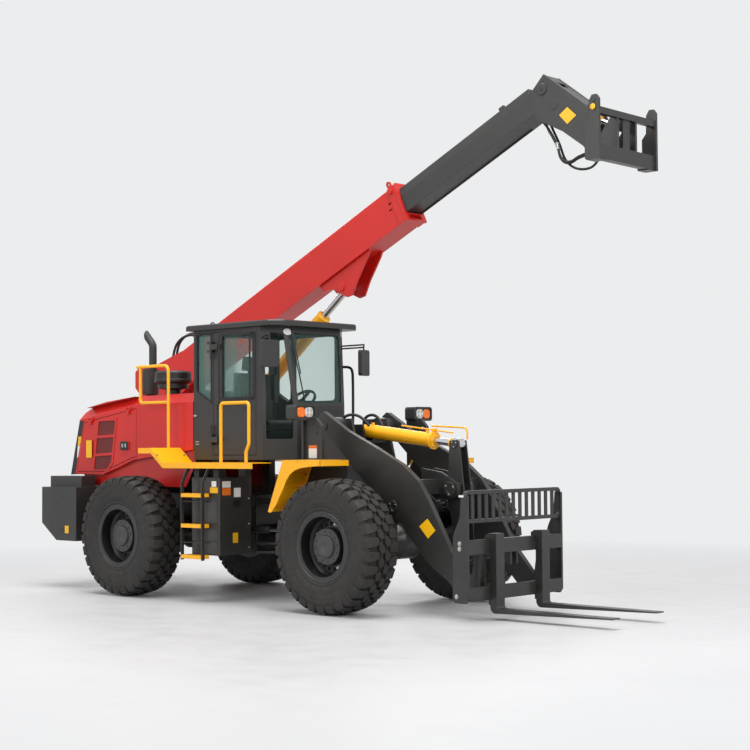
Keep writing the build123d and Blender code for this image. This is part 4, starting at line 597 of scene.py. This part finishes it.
def rectangle(x, z, width, height, radius=0.0, steps=4):
    """The outline of a rectangle about a middle, with round corners if it has a radius."""
    if not radius:
        corners = ((-1, -1), (1, -1), (1, 1), (-1, 1))
        return [(x + side * width / 2, z + rise * height / 2) for side, rise in corners]
    outline = []
    for side, rise, start in ((1, 1, 0), (-1, 1, 90), (-1, -1, 180), (1, -1, 270)):
        for step in range(steps + 1):
            turn = math.radians(start + 90 * step / steps)
            outline.append((
                x + side * (width / 2 - radius) + radius * math.cos(turn),
                z + rise * (height / 2 - radius) + radius * math.sin(turn),
            ))
    return outline


def sided_box(shape, side, ahead, aside, up, edge):
    """A box given by its two limits each way, those across counted outwards on one side."""
    low, high = sorted(side * y for y in aside)
    shape.box(at(ahead[0], low, up[0]), at(ahead[1], high, up[1]), edge)


def framed(shape, outer, inner, y, depth):
    """A flat ring between two outlines that have as many points, facing sideways."""
    points = []
    for outline, reach in ((outer, 0), (outer, depth), (inner, depth), (inner, 0)):
        points += [at(x, y + reach, z) for x, z in outline]
    shape.add(points, bands(4, len(outer), loop=True))


def hose(name, body, points, radius):
    """A hose that leaves the machine at the first point and goes back into it at the last."""
    curve = bpy.data.curves.new(name, "CURVE")
    curve.dimensions = "3D"
    spline = curve.splines.new("NURBS")
    spline.points.add(len(points) - 1)
    for knot, place in zip(spline.points, points):
        knot.co = (*Vector(place), 1)
    spline.order_u = 3
    spline.use_endpoint_u = True
    spline.resolution_u = 8
    piece = add_object(name, curve)
    bpy.context.view_layer.update()
    line = bpy.data.meshes.new_from_object(piece)
    bpy.data.meshes.remove(line)
    curve.bevel_depth = radius
    curve.bevel_resolution = 3
    curve.use_fill_caps = True
    curve.materials.append(looks["hose_rubber"])
    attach(piece, body)


def ferrule(shape, place, along, radius):
    """The crimped end of a hose and its nut."""
    along = Vector(along).normalized()
    wide = radius * 1.25
    crimp = [(-0.012, radius * 0.8), (0.0, wide), (0.045, wide), (0.050, radius * 0.9)]
    shape.turned(place, along, crimp, 16)
    shape.turned(place - along * 0.024, along, [(0, radius * 1.45), (0.018, radius * 1.45)], 6)


def spots_round(count, start):
    """Directions that stand evenly round a sideways axis, the first at a start in degrees."""
    for number in range(count):
        turn = math.radians(360 / count * number + start)
        yield Vector((math.cos(turn), 0, math.sin(turn)))


# ---- wheels' rings, caps, bolts and nuts
def dress_wheels():
    ring = [(0.194, 0.354), (0.200, 0.348), (0.200, 0.340), (0.1955, 0.337), (0.1955, 0.325),
            (0.188, 0.321), (0.188, 0.310), (0.178, 0.300)]
    # a near-black liner in the rim's deep dish: painted shade standing in for the shadow inside the dish
    shade_liner = [(0.180, 0.2985), (0.074, 0.2905), (0.0445, 0.262), (0.0445, 0.19)]
    cap = [(0.100, 0.182), (0.126, 0.182), (0.131, 0.176), (0.131, 0.118), (0.150, 0.110), (0.153, 0.100),
           (0.153, 0.045), (0.150, 0.040), (0.150, 0.0)]
    cap_screw = [(0, 0.008), (0.006, 0.008), (0.007, 0.005)]
    for name, sign in wheels:
        centre = middle("rim_" + name)
        out = Vector((0, sign, 0))
        rings, well_shades, caps, bolts, nuts = (Shape() for _ in range(5))
        rings.turned(centre, out, ring, 96, caps=False)
        well_shades.turned(centre, out, shade_liner, 72, caps=False)
        caps.turned(centre, out, cap, 64, caps=False)
        for spot in spots_round(12, 8):
            bolts.turned(centre + spot * 0.152 + out * 0.130, out, cap_screw, 8)
        for count, spot in enumerate(spots_round(20, 5)):
            # every fourth of the wheel's bolts is a bright nut
            (bolts if count % 4 else nuts).bolt(centre + spot * 0.226 + out * 0.044, out, 0.015, 0.02)
        for shape, prefix, look in (
            (rings, "rim_rings_", "rim_paint"), (well_shades, "rim_well_painted_shade_", "black_and_painted_shade"),
            (caps, "hub_cap_", "hub_paint"), (bolts, "wheel_bolts_", "bolt_black"),
            (nuts, "wheel_nuts_", "zinc"),
        ):
            shape.build(prefix + name, "wheel_" + name, look, "dark_grey_paint")


dress_wheels()


# ---- hood: vents, latch, plates
def dress_hood():
    hood_y, vent_y = -0.640, -0.633
    vents = (
        ((-1.062, 1.982), (-0.745, 1.990), (-0.770, 1.826), (-1.090, 1.812)),
        ((-1.096, 1.780), (-0.778, 1.792), (-0.802, 1.612), (-1.126, 1.594)),
        ((-1.130, 1.562), (-0.806, 1.578), (-0.822, 1.502), (-0.900, 1.410), (-1.160, 1.404)),
    )
    mesh = Shape()
    for outline in vents:
        side_plate(mesh, outline, vent_y, -0.004)
    mesh.build("vent_mesh", "hood_door", "mesh_screen", "dark_grey_paint")

    latch = Shape()
    side_plate(latch, rectangle(-0.563, 1.690, 0.150, 0.100, 0.022), hood_y, -0.021, 0.004)
    latch.build("latch_case", "hood_door", "black_plastic", "black_plastic")
    paddles = Shape()
    for x in (-0.592, -0.536):
        side_plate(paddles, rectangle(x, 1.692, 0.026, 0.046, 0.010), hood_y - 0.021, -0.0008)
    paddles.build("latch_paddles", "hood_door", "zinc", "dark_grey_paint")

    plates = Shape()
    side_plate(plates, rectangle(-1.233, 1.653, 0.108, 0.210, 0.006), -0.6600, -0.0015)
    plates.build("warning_plate", "hood_door", "plate_yellow", "yellow_paint")


dress_hood()


# ---- counterweight
def dress_counterweight():
    dark, bright, lamps = Shape(), Shape(), Shape()
    flank_y = 0.9995
    for side in (1, -1):
        sided_box(lamps, side, (-1.728, -1.690), (0.760, 0.862), (1.238, 1.296), 0.006)
        for shape, x in ((dark, -1.288), (bright, -1.214)):
            side_plate(shape, rectangle(x, 0.700, 0.074, 0.088, 0.003), side * flank_y, side * 0.0018)
    lamps.build("tail_lamps", "rear_frame", "red_lens", "red_paint")
    dark.build("weight_plate_dark", "rear_frame", "bolt_black", "dark_grey_paint")
    bright.build("weight_plate_bright", "rear_frame", "plate_yellow", "yellow_paint")


dress_counterweight()


# ---- headlamps
def dress_headlamps():
    face_x, lamp_z, clear_y = wheel_base - 0.499, 2.020, 0.867
    lens_depth, lens_width = 0.013, 0.110
    reflector = [(0, 0.020), (0.0016, 0.018), (0.0022, 0.012), (0.0022, 0.0)]
    ambers, clears, spots = Shape(), Shape(), Shape()
    for side in (1, -1):
        for shape, y in ((clears, clear_y), (ambers, 0.981)):
            outline = rectangle(y, lamp_z, lens_width, 0.100, 0.034, 5)
            shape.prism([at(face_x, side * y, z) for y, z in outline], (lens_depth, 0, 0), 0.006)
        # raised reflectors on the clear lens
        for row, column in product((-1, 1), repeat=2):
            place = at(face_x + 0.0125, side * (clear_y + 0.026 * column), lamp_z + 0.024 * row)
            spots.turned(place, (1, 0, 0), reflector, 18)
    ambers.build("lamp_amber", "front_frame", "amber_lens", "cab_glass")
    clears.build("lamp_clear", "front_frame", "clear_lens", "cab_glass")
    spots.build("lamp_spots", "front_frame", "zinc", "chrome")


dress_headlamps()


# ---- cab trim
def dress_cab():
    wall_y = 0.6395
    # the seals of the door's window, and of the quarter windows on both sides
    seals = Shape()
    outer = rectangle(1.3915, 2.5525, 0.527, 0.735, 0.034)
    framed(seals, outer, rectangle(1.3915, 2.5525, 0.471, 0.679, 0.020), -0.6800, -0.0025)
    seals.build("door_seal", "cab_door", "seal_rubber", "black_plastic")
    seals = Shape()
    outer = [(0.706, 2.300), (0.980, 2.142), (0.980, 2.950), (0.706, 2.950)]
    inner = [(0.733, 2.300), (0.955, 2.176), (0.955, 2.924), (0.733, 2.924)]
    for side in (1, -1):
        framed(seals, outer, inner, side * wall_y, side * 0.003)
    seals.build("quarter_seals", "rear_frame", "seal_rubber", "black_plastic")

    # hinges, handle and lock
    black = Shape()
    for z in (2.72, 1.84):
        black.box(at(0.984, -0.6825, z - 0.075), at(1.012, -0.668, z + 0.075), 0.004)
    black.build("door_hinge_straps", "rear_frame", "bolt_black", "black_plastic")
    handle = Shape()
    side_plate(handle, rectangle(1.540, 2.100, 0.100, 0.036, 0.012), -0.676, -0.006, 0.002)
    handle.build("door_handle", "cab_door", "bolt_black", "black_plastic")
    lock = Shape()
    side_plate(lock, rectangle(0.705, 2.020, 0.050, 0.020, 0.008), -wall_y, -0.018, 0.003)
    for z in (1.700, 1.728):
        side_plate(lock, rectangle(0.730, z, 0.060, 0.010, 0.003), -wall_y, -0.004)
    lock.build("cab_lock", "rear_frame", "zinc", "dark_grey_paint")


dress_cab()


# ---- windscreen: wiper and blank oval
def front_plate(shape, outline, x, depth, edge=0.0):
    """A plate that faces ahead: its outline across and up, its back at x, its face depth further."""
    shape.prism([at(x, y, z) for y, z in outline], (depth, 0, 0), edge)


def dress_front_glass():
    # the glass's lower and upper corners, left and right
    low = [at(2.042, y, 2.115) for y in (0.36, -0.36)]
    high = [at(1.940, y, 2.925) for y in (0.42, -0.42)]
    out = (low[1] - low[0]).cross(high[0] - low[0]).normalized()
    if out.x < 0:
        out = -out

    def on_glass(across_share, up_share, lift=0.0):
        left = low[0].lerp(high[0], up_share)
        right = low[1].lerp(high[1], up_share)
        return left.lerp(right, across_share) + out * lift

    wiper, rubber, white = Shape(), Shape(), Shape()
    # the arm hangs from the top edge, and its blade reaches down to the near lower corner
    arm = [on_glass(0.90, 1.00, 0.020), on_glass(0.905, 0.80, 0.026), on_glass(0.86, 0.42, 0.020)]
    blade = [on_glass(0.93, 0.78, 0.012), on_glass(0.88, 0.42, 0.013), on_glass(0.84, 0.06, 0.012)]
    wiper.tube(smooth_path(arm, 5), 0.0065, 8)
    rubber.tube(blade, 0.007, 6)
    wiper.turned(on_glass(0.90, 0.995, 0.004), out, [(0, 0.022), (0.022, 0.020), (0.026, 0.012)], 18)
    wiper.build("wiper_arm", "rear_frame", "bolt_black", "black_plastic")
    rubber.build("wiper_blade", "rear_frame", "seal_rubber", "black_plastic")
    # the blank oval at the glass's top
    ring = []
    centre = on_glass(0.985, 0.985, 0.004)
    side = (on_glass(1, 0.9) - on_glass(0, 0.9)).normalized()
    rise = (on_glass(0.5, 1) - on_glass(0.5, 0)).normalized()
    for step in range(32):
        turn = 2 * math.pi * step / 32
        ring.append(centre + side * 0.062 * math.cos(turn) + rise * 0.036 * math.sin(turn))
    white.prism(ring, out * 0.003)
    white.build("badge_blank", "rear_frame", "plate_white", "black_plastic")


dress_front_glass()


# ---- deck, ladder and tank
def dress_deck():
    bolts = Shape()
    for x in (0.56, 1.02, 1.30, 1.46):
        bolts.turned(at(x, -1.0800, 1.585), (0, -1, 0), [(0, 0.010), (0.004, 0.010), (0.006, 0.006)], 12)
    bolts.build("deck_bolts", "rear_frame", "bolt_black", "black_plastic")

    # raised ribs over each ladder tread
    ribs = Shape()
    for z in (1.15, 0.82, 0.49):
        for step in range(5):
            y = -1.160 + 0.024 * step
            ribs.box(at(1.075, y, z + 0.006), at(1.380, y + 0.008, z + 0.0125), 0.002)
    ribs.build("tread_ribs", "rear_frame", "yellow_paint", "yellow_paint")

    # raised strips and blank plates on the tank's outer wall and its front wall
    strips, yellow, white, orange, dark, screws = (Shape() for _ in range(6))
    wall = -1.0298
    for x, z, width, height in (
        (1.150, 0.925, 0.100, 0.800), (1.430, 0.980, 0.160, 0.250), (1.430, 0.650, 0.160, 0.260),
    ):
        side_plate(strips, rectangle(x, z, width, height, 0.006), wall, -0.0035, 0.0015)
    for shape, z, width, height in ((white, 1.272, 0.076, 0.060), (yellow, 1.205, 0.126, 0.062)):
        side_plate(shape, rectangle(1.450, z, width, height, 0.004), wall - 0.0030, -0.0015)
    front = 1.5296
    for shape, y, z, width, height in (
        (white, -0.926, 1.266, 0.120, 0.068),
        (orange, -0.926, 1.188, 0.120, 0.078),
        (white, -0.769, 1.176, 0.098, 0.100),
        (dark, -0.776, 1.060, 0.110, 0.072),
        (yellow, -0.797, 0.688, 0.074, 0.108),
    ):
        front_plate(shape, rectangle(y, z, width, height, 0.004), front, 0.002)
    for z in (1.107, 0.831, 0.577):
        screws.turned(at(front, -0.600, z), (1, 0, 0), [(0, 0.011), (0.004, 0.011), (0.007, 0.006)], 12)
    for shape, name, look, slot in (
        (strips, "tank_strips", "rim_paint", "dark_grey_paint"),
        (screws, "tank_screws", "zinc", "dark_grey_paint"),
        (yellow, "tank_plates_yellow", "plate_yellow", "yellow_paint"),
        (white, "tank_plates_white", "plate_white", "dark_grey_paint"),
        (orange, "tank_plates_orange", "plate_orange", "yellow_paint"),
        (dark, "tank_plate_dark", "black_and_painted_shade", "dark_grey_paint"),
    ):
        shape.build(name, "rear_frame", look, slot)


dress_deck()


# ---- plates and bolts on arms, head and carriage
def shrunk(outline, share):
    """The same outline drawn in towards its middle."""
    x = sum(p[0] for p in outline) / len(outline)
    z = sum(p[1] for p in outline) / len(outline)
    return [(x + (p - x) * share, z + (q - z) * share) for p, q in outline]


def dress_plates():
    arm_diamond = [(4.039, 0.962), (4.154, 0.836), (4.045, 0.743), (3.919, 0.874)]
    head_diamond = [(4.873, 5.120), (4.996, 5.009), (4.870, 4.925), (4.759, 5.044)]
    for name, body, outline, faces in (
        ("arm_plate", "loader_arms", arm_diamond, (0.530, -0.530)),
        ("head_plate", "boom_inner", head_diamond, (1.020, 0.740)),
    ):
        plates, edges = Shape(), Shape()
        for face, side in zip(faces, (1, -1)):
            side_plate(edges, outline, face - side * 0.0004, side * 0.0014)
            side_plate(plates, shrunk(outline, 0.90), face + side * 0.0009, side * 0.0012)
        edges.build(name + "_edges", body, "black_and_painted_shade", "dark_grey_paint")
        plates.build(name + "s", body, "plate_yellow", "yellow_paint")

    zinc, label, post_white, post_orange = (Shape() for _ in range(4))
    carriage_y, post_y = 0.7598, 0.8098
    for side in (1, -1):
        for x, z in ((4.637, 0.737), (4.636, 0.688), (4.594, 0.236)):
            zinc.bolt(at(x, side * (carriage_y - 0.0003), z), (0, side, 0), 0.016)
        side_plate(label, rectangle(4.660, 1.188, 0.060, 0.020), side * carriage_y, side * 0.0012)
        for shape, z, height in ((post_white, 1.598, 0.100), (post_orange, 1.664, 0.032)):
            side_plate(shape, rectangle(2.729, z, 0.118, height, 0.004), side * post_y, side * 0.0015)
    zinc.build("carriage_bolts", "fork_carriage", "zinc", "dark_grey_paint")
    label.build("carriage_label", "fork_carriage", "plate_white", "dark_grey_paint")
    post_white.build("post_plate_white", "front_frame", "plate_white", "dark_grey_paint")
    post_orange.build("post_plate_orange", "front_frame", "plate_orange", "yellow_paint")


dress_plates()


# ---- pin heads with their keeper plates
def dress_pins():
    # name, body, place ahead and up, how far out its face is, radius
    pins = [
        ("lift_pin", "loader_arms", 3.580, 1.062, 0.530, 0.060),
        ("crank_pin", "loader_arms", 4.000, 1.230, 0.142, 0.075),
        ("crank_top_pin", "bell_crank", 4.000, 1.684, 0.064, 0.042),
    ]
    for name, body, x, z, face, radius in pins:
        caps, bolts = Shape(), Shape()
        for side in (1, -1):
            place, out = at(x, side * (face - 0.001), z), Vector((0, side, 0))
            rim = [(0, radius), (0.007, radius), (0.010, radius * 0.94)]
            dimple = [(0.010, radius * 0.5), (0.007, radius * 0.46), (0.007, 0.0)]
            caps.turned(place, out, rim + dimple, 36)
            for spot in spots_round(3, 25):
                bolts.bolt(place + spot * radius * 0.72 + out * 0.009, out, radius * 0.13, radius * 0.12)
        caps.build(name + "_caps", body, "dark_grey_paint", "dark_grey_paint")
        bolts.build(name + "_bolts", body, "zinc", "dark_grey_paint")


dress_pins()


def dress_head():
    """The head's pivot caps, the carrier's yellow cap, and the guide rod over the tilt ram."""
    caps, bore_shades, marks, rods = (Shape() for _ in range(4))
    boom_y, head_half_width, pivot_x, pivot_z = 0.88, 0.139, 4.553, 5.343
    cap = [(0, 0.062), (0.008, 0.062), (0.012, 0.056), (0.012, 0.0)]
    mark = [(0, 0.030), (0.006, 0.030), (0.010, 0.022), (0.010, 0.0)]
    for side in (1, -1):
        face = boom_y + side * head_half_width
        caps.turned(at(pivot_x, face, pivot_z), (0, side, 0), cap, 36)
        # a near-black disc on each cap: painted shade standing in for the dark of the pin's bore
        bore_shade = [(0, 0.024), (0.003, 0.022), (0.003, 0.0)]
        bore_shades.turned(at(pivot_x, face + side * 0.012, pivot_z), (0, side, 0), bore_shade, 24)
    marks.turned(at(5.458, 0.3475, 4.968), (0, -1, 0), mark, 24)
    caps.build("head_pin_caps", "boom_inner", "dark_grey_paint", "dark_grey_paint")
    bore_shades.build("head_pin_bore_shades", "boom_inner", "black_and_painted_shade", "dark_grey_paint")
    marks.build("carrier_caps", "boom_carrier", "plate_yellow", "yellow_paint")
    path = route((3.580, 1.872), (3.800, 1.862), (3.980, 1.852), (4.035, 1.840),
                 (4.052, 1.800), (4.052, 1.730), y=0.085)
    rods.tube(smooth_path(path, 6), 0.010, 10)
    rods.build("tilt_guide", "tilt_rod", "yellow_paint", "yellow_paint")


dress_head()


# ---- hoses
def dress_hoses():
    head_radius, foot_radius = 0.013, 0.016
    # from the clamp under the boom's end, down in a loop and up behind the carrier
    fittings = Shape()
    loop = ((4.568, 4.965), (4.645, 4.850), (4.712, 4.730), (4.725, 4.640), (4.790, 4.565), (4.880, 4.556),
            (4.965, 4.605))
    for number, y in enumerate((0.800, 0.865)):
        back = (y - 0.800) * 0.72
        points = route((4.514, 5.024), *((x - back, z) for x, z in loop), (5.172, 4.640), y=y)
        hose(f"head_hose_{number + 1}", "boom_inner", points, head_radius)
        ferrule(fittings, at(4.700 - back, y, 4.752), (0.35, 0, -1), 0.014)
    points = route((4.514, 0.930, 5.024), (4.560, 0.930, 4.930), (4.640, 0.930, 4.780), (4.715, 0.900, 4.610),
                   (4.850, 0.870, 4.500), (5.010, 0.850, 4.462), (5.150, 0.840, 4.490), (5.215, 0.840, 4.600))
    hose("head_hose_3", "boom_inner", points, head_radius)
    fittings.build("head_hose_fittings", "boom_inner", "zinc", "chrome")

    # loops at the foot of the tilt ram
    for number, y in enumerate((-0.170, 0.170)):
        points = route((2.560, y, 1.760), (2.520, y, 1.900), (2.560, y, 1.985), (2.680, y * 0.9, 2.010),
                       (2.800, y * 0.75, 1.970), (2.870, y * 0.62, 1.880))
        hose(f"tilt_hose_{number + 1}", "front_frame", points, foot_radius)

    # over the boom's foot, behind the cab
    for number, (y, lift) in enumerate(((0.745, 0.0), (0.800, 0.025))):
        points = route((-1.340, 2.800), (-1.310, 2.930 + lift), (-1.215, 3.030 + lift),
                       (-1.080, 3.080 + lift), (-0.930, 3.085 + lift), (-0.800, 3.020), y=y)
        hose(f"boom_hose_{number + 1}", "boom_outer", points, foot_radius)


dress_hoses()


# ---- front fenders
def make_fenders():
    """Bent sheet with a deep outer flange that is widest at the corner, and ribs below."""
    sheet, lap = 0.008, 0.0005
    outer_y, inner_y = 1.205, 0.790
    # the sheet's top line, the flange's lower line, and the sheet's under line, ahead and up
    top = [(2.467, 1.003), (2.676, 1.505), (2.684, 1.520), (2.697, 1.530), (2.716, 1.534), (3.222, 1.531)]
    under = [(3.222, 1.474), (3.080, 1.468), (2.940, 1.452), (2.860, 1.430), (2.795, 1.392), (2.742, 1.332),
             (2.690, 1.235), (2.590, 1.080), (2.512, 0.997)]
    inner = [(2.476, 1.003), (2.683, 1.500), (2.690, 1.513), (2.701, 1.522), (2.718, 1.526), (3.222, 1.523)]
    shape = Shape()
    for side in (1, -1):
        side_plate(shape, top + under, side * outer_y, -side * sheet, 0.002)
        # the sheet itself, as a strip between its top and under lines
        span = side * (inner_y - outer_y + lap)
        for i in range(len(top) - 1):
            side_plate(shape, [top[i], top[i + 1], inner[i + 1], inner[i]], side * (outer_y - lap), span)
        side_plate(shape, inner + [(3.222, 1.496), (2.740, 1.500), (2.700, 1.470), (2.496, 0.998)],
                   side * (inner_y + lap), side * sheet)
        sided_box(shape, side, (3.214, 3.2218), (inner_y, outer_y), (1.472, 1.530), 0.002)
        # ribs across, under the slope and under the top
        (foot_x, foot_z), (corner_x, corner_z) = inner[:2]
        for share in (0.12, 0.50, 0.78):
            x = foot_x + (corner_x - foot_x) * share
            z = foot_z + (corner_z - foot_z) * share
            rib = [(x, z), (x + 0.006, z + 0.014), (x + 0.020, z + 0.008), (x + 0.014, z - 0.006)]
            side_plate(shape, rib, side * (outer_y - 0.001), span)
        sided_box(shape, side, (2.900, 2.910), (inner_y, outer_y), (1.505, 1.526), 0.002)
    liners = Shape()
    liner = [(3.200, 1.515), (2.740, 1.515), (2.690, 1.480), (2.496, 1.010), (2.620, 1.010), (3.200, 1.360)]
    for side in (1, -1):
        side_plate(liners, liner, side * (inner_y - 0.0015), -side * 0.006)
    liners.build("fender_liners", "front_frame", "dark_steel", "dark_steel")
    piece = shape.build("fender_sheets", "front_frame", "yellow_paint", "yellow_paint")
    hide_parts("front_fenders")

    brackets = Shape()
    for side in (1, -1):
        for front_x, root_y in ((2.498, 0.290), (2.640, 0.800)):
            sided_box(brackets, side, (2.442, front_x), (root_y, 0.860), (1.376, 1.424), 0.004)
    brackets.build("fender_brackets", "front_frame", "dark_steel", "dark_steel")


make_fenders()


# ---- deck brackets, far rail, grille plates, hook
def dress_rest():
    covers = Shape()
    for side in (1, -1):
        for x in (1.100, 1.420):
            sided_box(covers, side, (x - 0.002, x + 0.082), (0.908, 1.012), (1.336, 1.4995), 0.002)
    covers.build("deck_brackets", "rear_frame", "dark_steel", "dark_steel")

    rail = Shape()
    path = route((1.742, 0.660, 2.571), (1.850, 0.660, 2.562), (1.900, 0.660, 2.520), (1.911, 0.660, 2.400),
                 (1.912, 0.660, 2.150), (1.908, 0.660, 1.930), (1.895, 0.660, 1.870), (1.850, 0.655, 1.840))
    rail.tube(smooth_path(path, 6), 0.0155, 12)
    rail.build("far_rail", "rear_frame", "seal_rubber", "black_plastic")

    upper = [(-1.474, 1.804), (-1.395, 1.804), (-1.410, 1.690), (-1.488, 1.690)]
    lower = [(-1.488, 1.688), (-1.410, 1.688), (-1.425, 1.550), (-1.503, 1.550)]
    for outline, colour, slot in ((upper, "yellow", "yellow_paint"), (lower, "white", "dark_grey_paint")):
        plates = Shape()
        for side in (1, -1):
            side_plate(plates, outline, side * 0.6358, side * 0.0014)
        plates.build("grille_plate_" + colour, "rear_frame", "plate_" + colour, slot)

    hook = Shape()
    arch = route((0.800, 3.000), (0.795, 3.045), (0.815, 3.068), (0.850, 3.068), (0.870, 3.045),
                 (0.865, 3.000), y=-0.500)
    hook.tube(smooth_path(arch, 5), 0.0075, 8)
    hook.build("roof_hook", "rear_frame", "bolt_black", "black_plastic")


dress_rest()


# ---- floor, room and lamps
def looked_at(tree):
    """One where a camera, a mirror or a pane of glass looks, and zero where light is gathered."""
    seen = tree.nodes.new("ShaderNodeLightPath")
    total = seen.outputs["Is Camera Ray"]
    for name in ("Is Glossy Ray", "Is Transmission Ray"):
        node = tree.nodes.new("ShaderNodeMath")
        node.operation = "MAXIMUM"
        tree.links.new(total, node.inputs[0])
        tree.links.new(seen.outputs[name], node.inputs[1])
        total = node.outputs[0]
    return total


backdrop_grey = (*rgb(236, 237, 238), 1)
fade_start, fade_end = 5.0, 11.0
floor_half = 90.0
room_strength = 0.42


def make_floor():
    """A flat floor that fades, all round and far from the machine, into the backdrop's even pale grey."""
    n = Nodes("floor")
    slow = n.ramp(n.noise(0.5, 3), 0.3, 0.7)
    n.colour(n.mix(slow, rgb(190, 190, 191), rgb(195, 195, 196)))
    n.rough(n.ramp(n.noise(3, 4), 0.3, 0.7, 0.4, 0.55))
    squares = [n.maths("POWER", n.maths("ABSOLUTE", n.axis(letter)), 2.0) for letter in "XY"]
    reach = n.maths("SQRT", n.maths("ADD", *squares))
    far = n.ramp(reach, fade_start, fade_end)
    glow = n.new("ShaderNodeEmission")
    glow.inputs["Color"].default_value = backdrop_grey
    n.surface(n.maths("MULTIPLY", far, looked_at(n.tree)), n.shader, glow)
    mesh = bpy.data.meshes.new("floor")
    corners = ((-1, -1), (1, -1), (1, 1), (-1, 1))
    points = [(x * floor_half, y * floor_half, ground - 0.001) for x, y in corners]
    mesh.from_pydata(points, [], [(0, 1, 2, 3)])
    floor = add_object("floor", mesh)
    mesh.materials.append(n.material)


def make_lamp(name, place, target, size, power):
    light = bpy.data.lights.new(name, "AREA")
    light.shape = "RECTANGLE"
    light.size, light.size_y = size
    light.energy = power
    lamp = add_object(name, light)
    lamp.location = place
    lamp.rotation_mode = "QUATERNION"
    lamp.rotation_quaternion = (target - place).to_track_quat("-Z", "Y")


def make_room():
    world = bpy.data.worlds.new("room")
    bpy.context.scene.world = world
    world.use_nodes = True
    tree = world.node_tree
    sky = tree.nodes["Background"]
    sky.inputs["Color"].default_value = backdrop_grey
    sky.inputs["Strength"].default_value = room_strength
    seen = tree.nodes.new("ShaderNodeBackground")
    seen.inputs["Color"].default_value = backdrop_grey
    seen.inputs["Strength"].default_value = 1.0
    blend = tree.nodes.new("ShaderNodeMixShader")
    tree.links.new(looked_at(tree), blend.inputs[0])
    tree.links.new(sky.outputs[0], blend.inputs[1])
    tree.links.new(seen.outputs[0], blend.inputs[2])
    tree.links.new(blend.outputs[0], tree.nodes["World Output"].inputs["Surface"])
    make_lamp("over", at(3.0, -2.0, 17.0), at(2.0, 0, 0.5), (14, 11), 2880)
    make_lamp("front", at(17.0, -4.0, 8.0), at(2.0, 0, 1.0), (8, 7), 1140)
    make_lamp("near", at(0.0, -15.0, 8.5), at(1.5, 0, 1.0), (9, 6), 740)
    make_lamp("back", at(-8.0, 10.0, 8.0), at(1.5, 0, 1.0), (8, 5), 500)


make_floor()
make_room()
bpy.context.scene.view_settings.view_transform = "Standard"

bpy.context.view_layer.update()
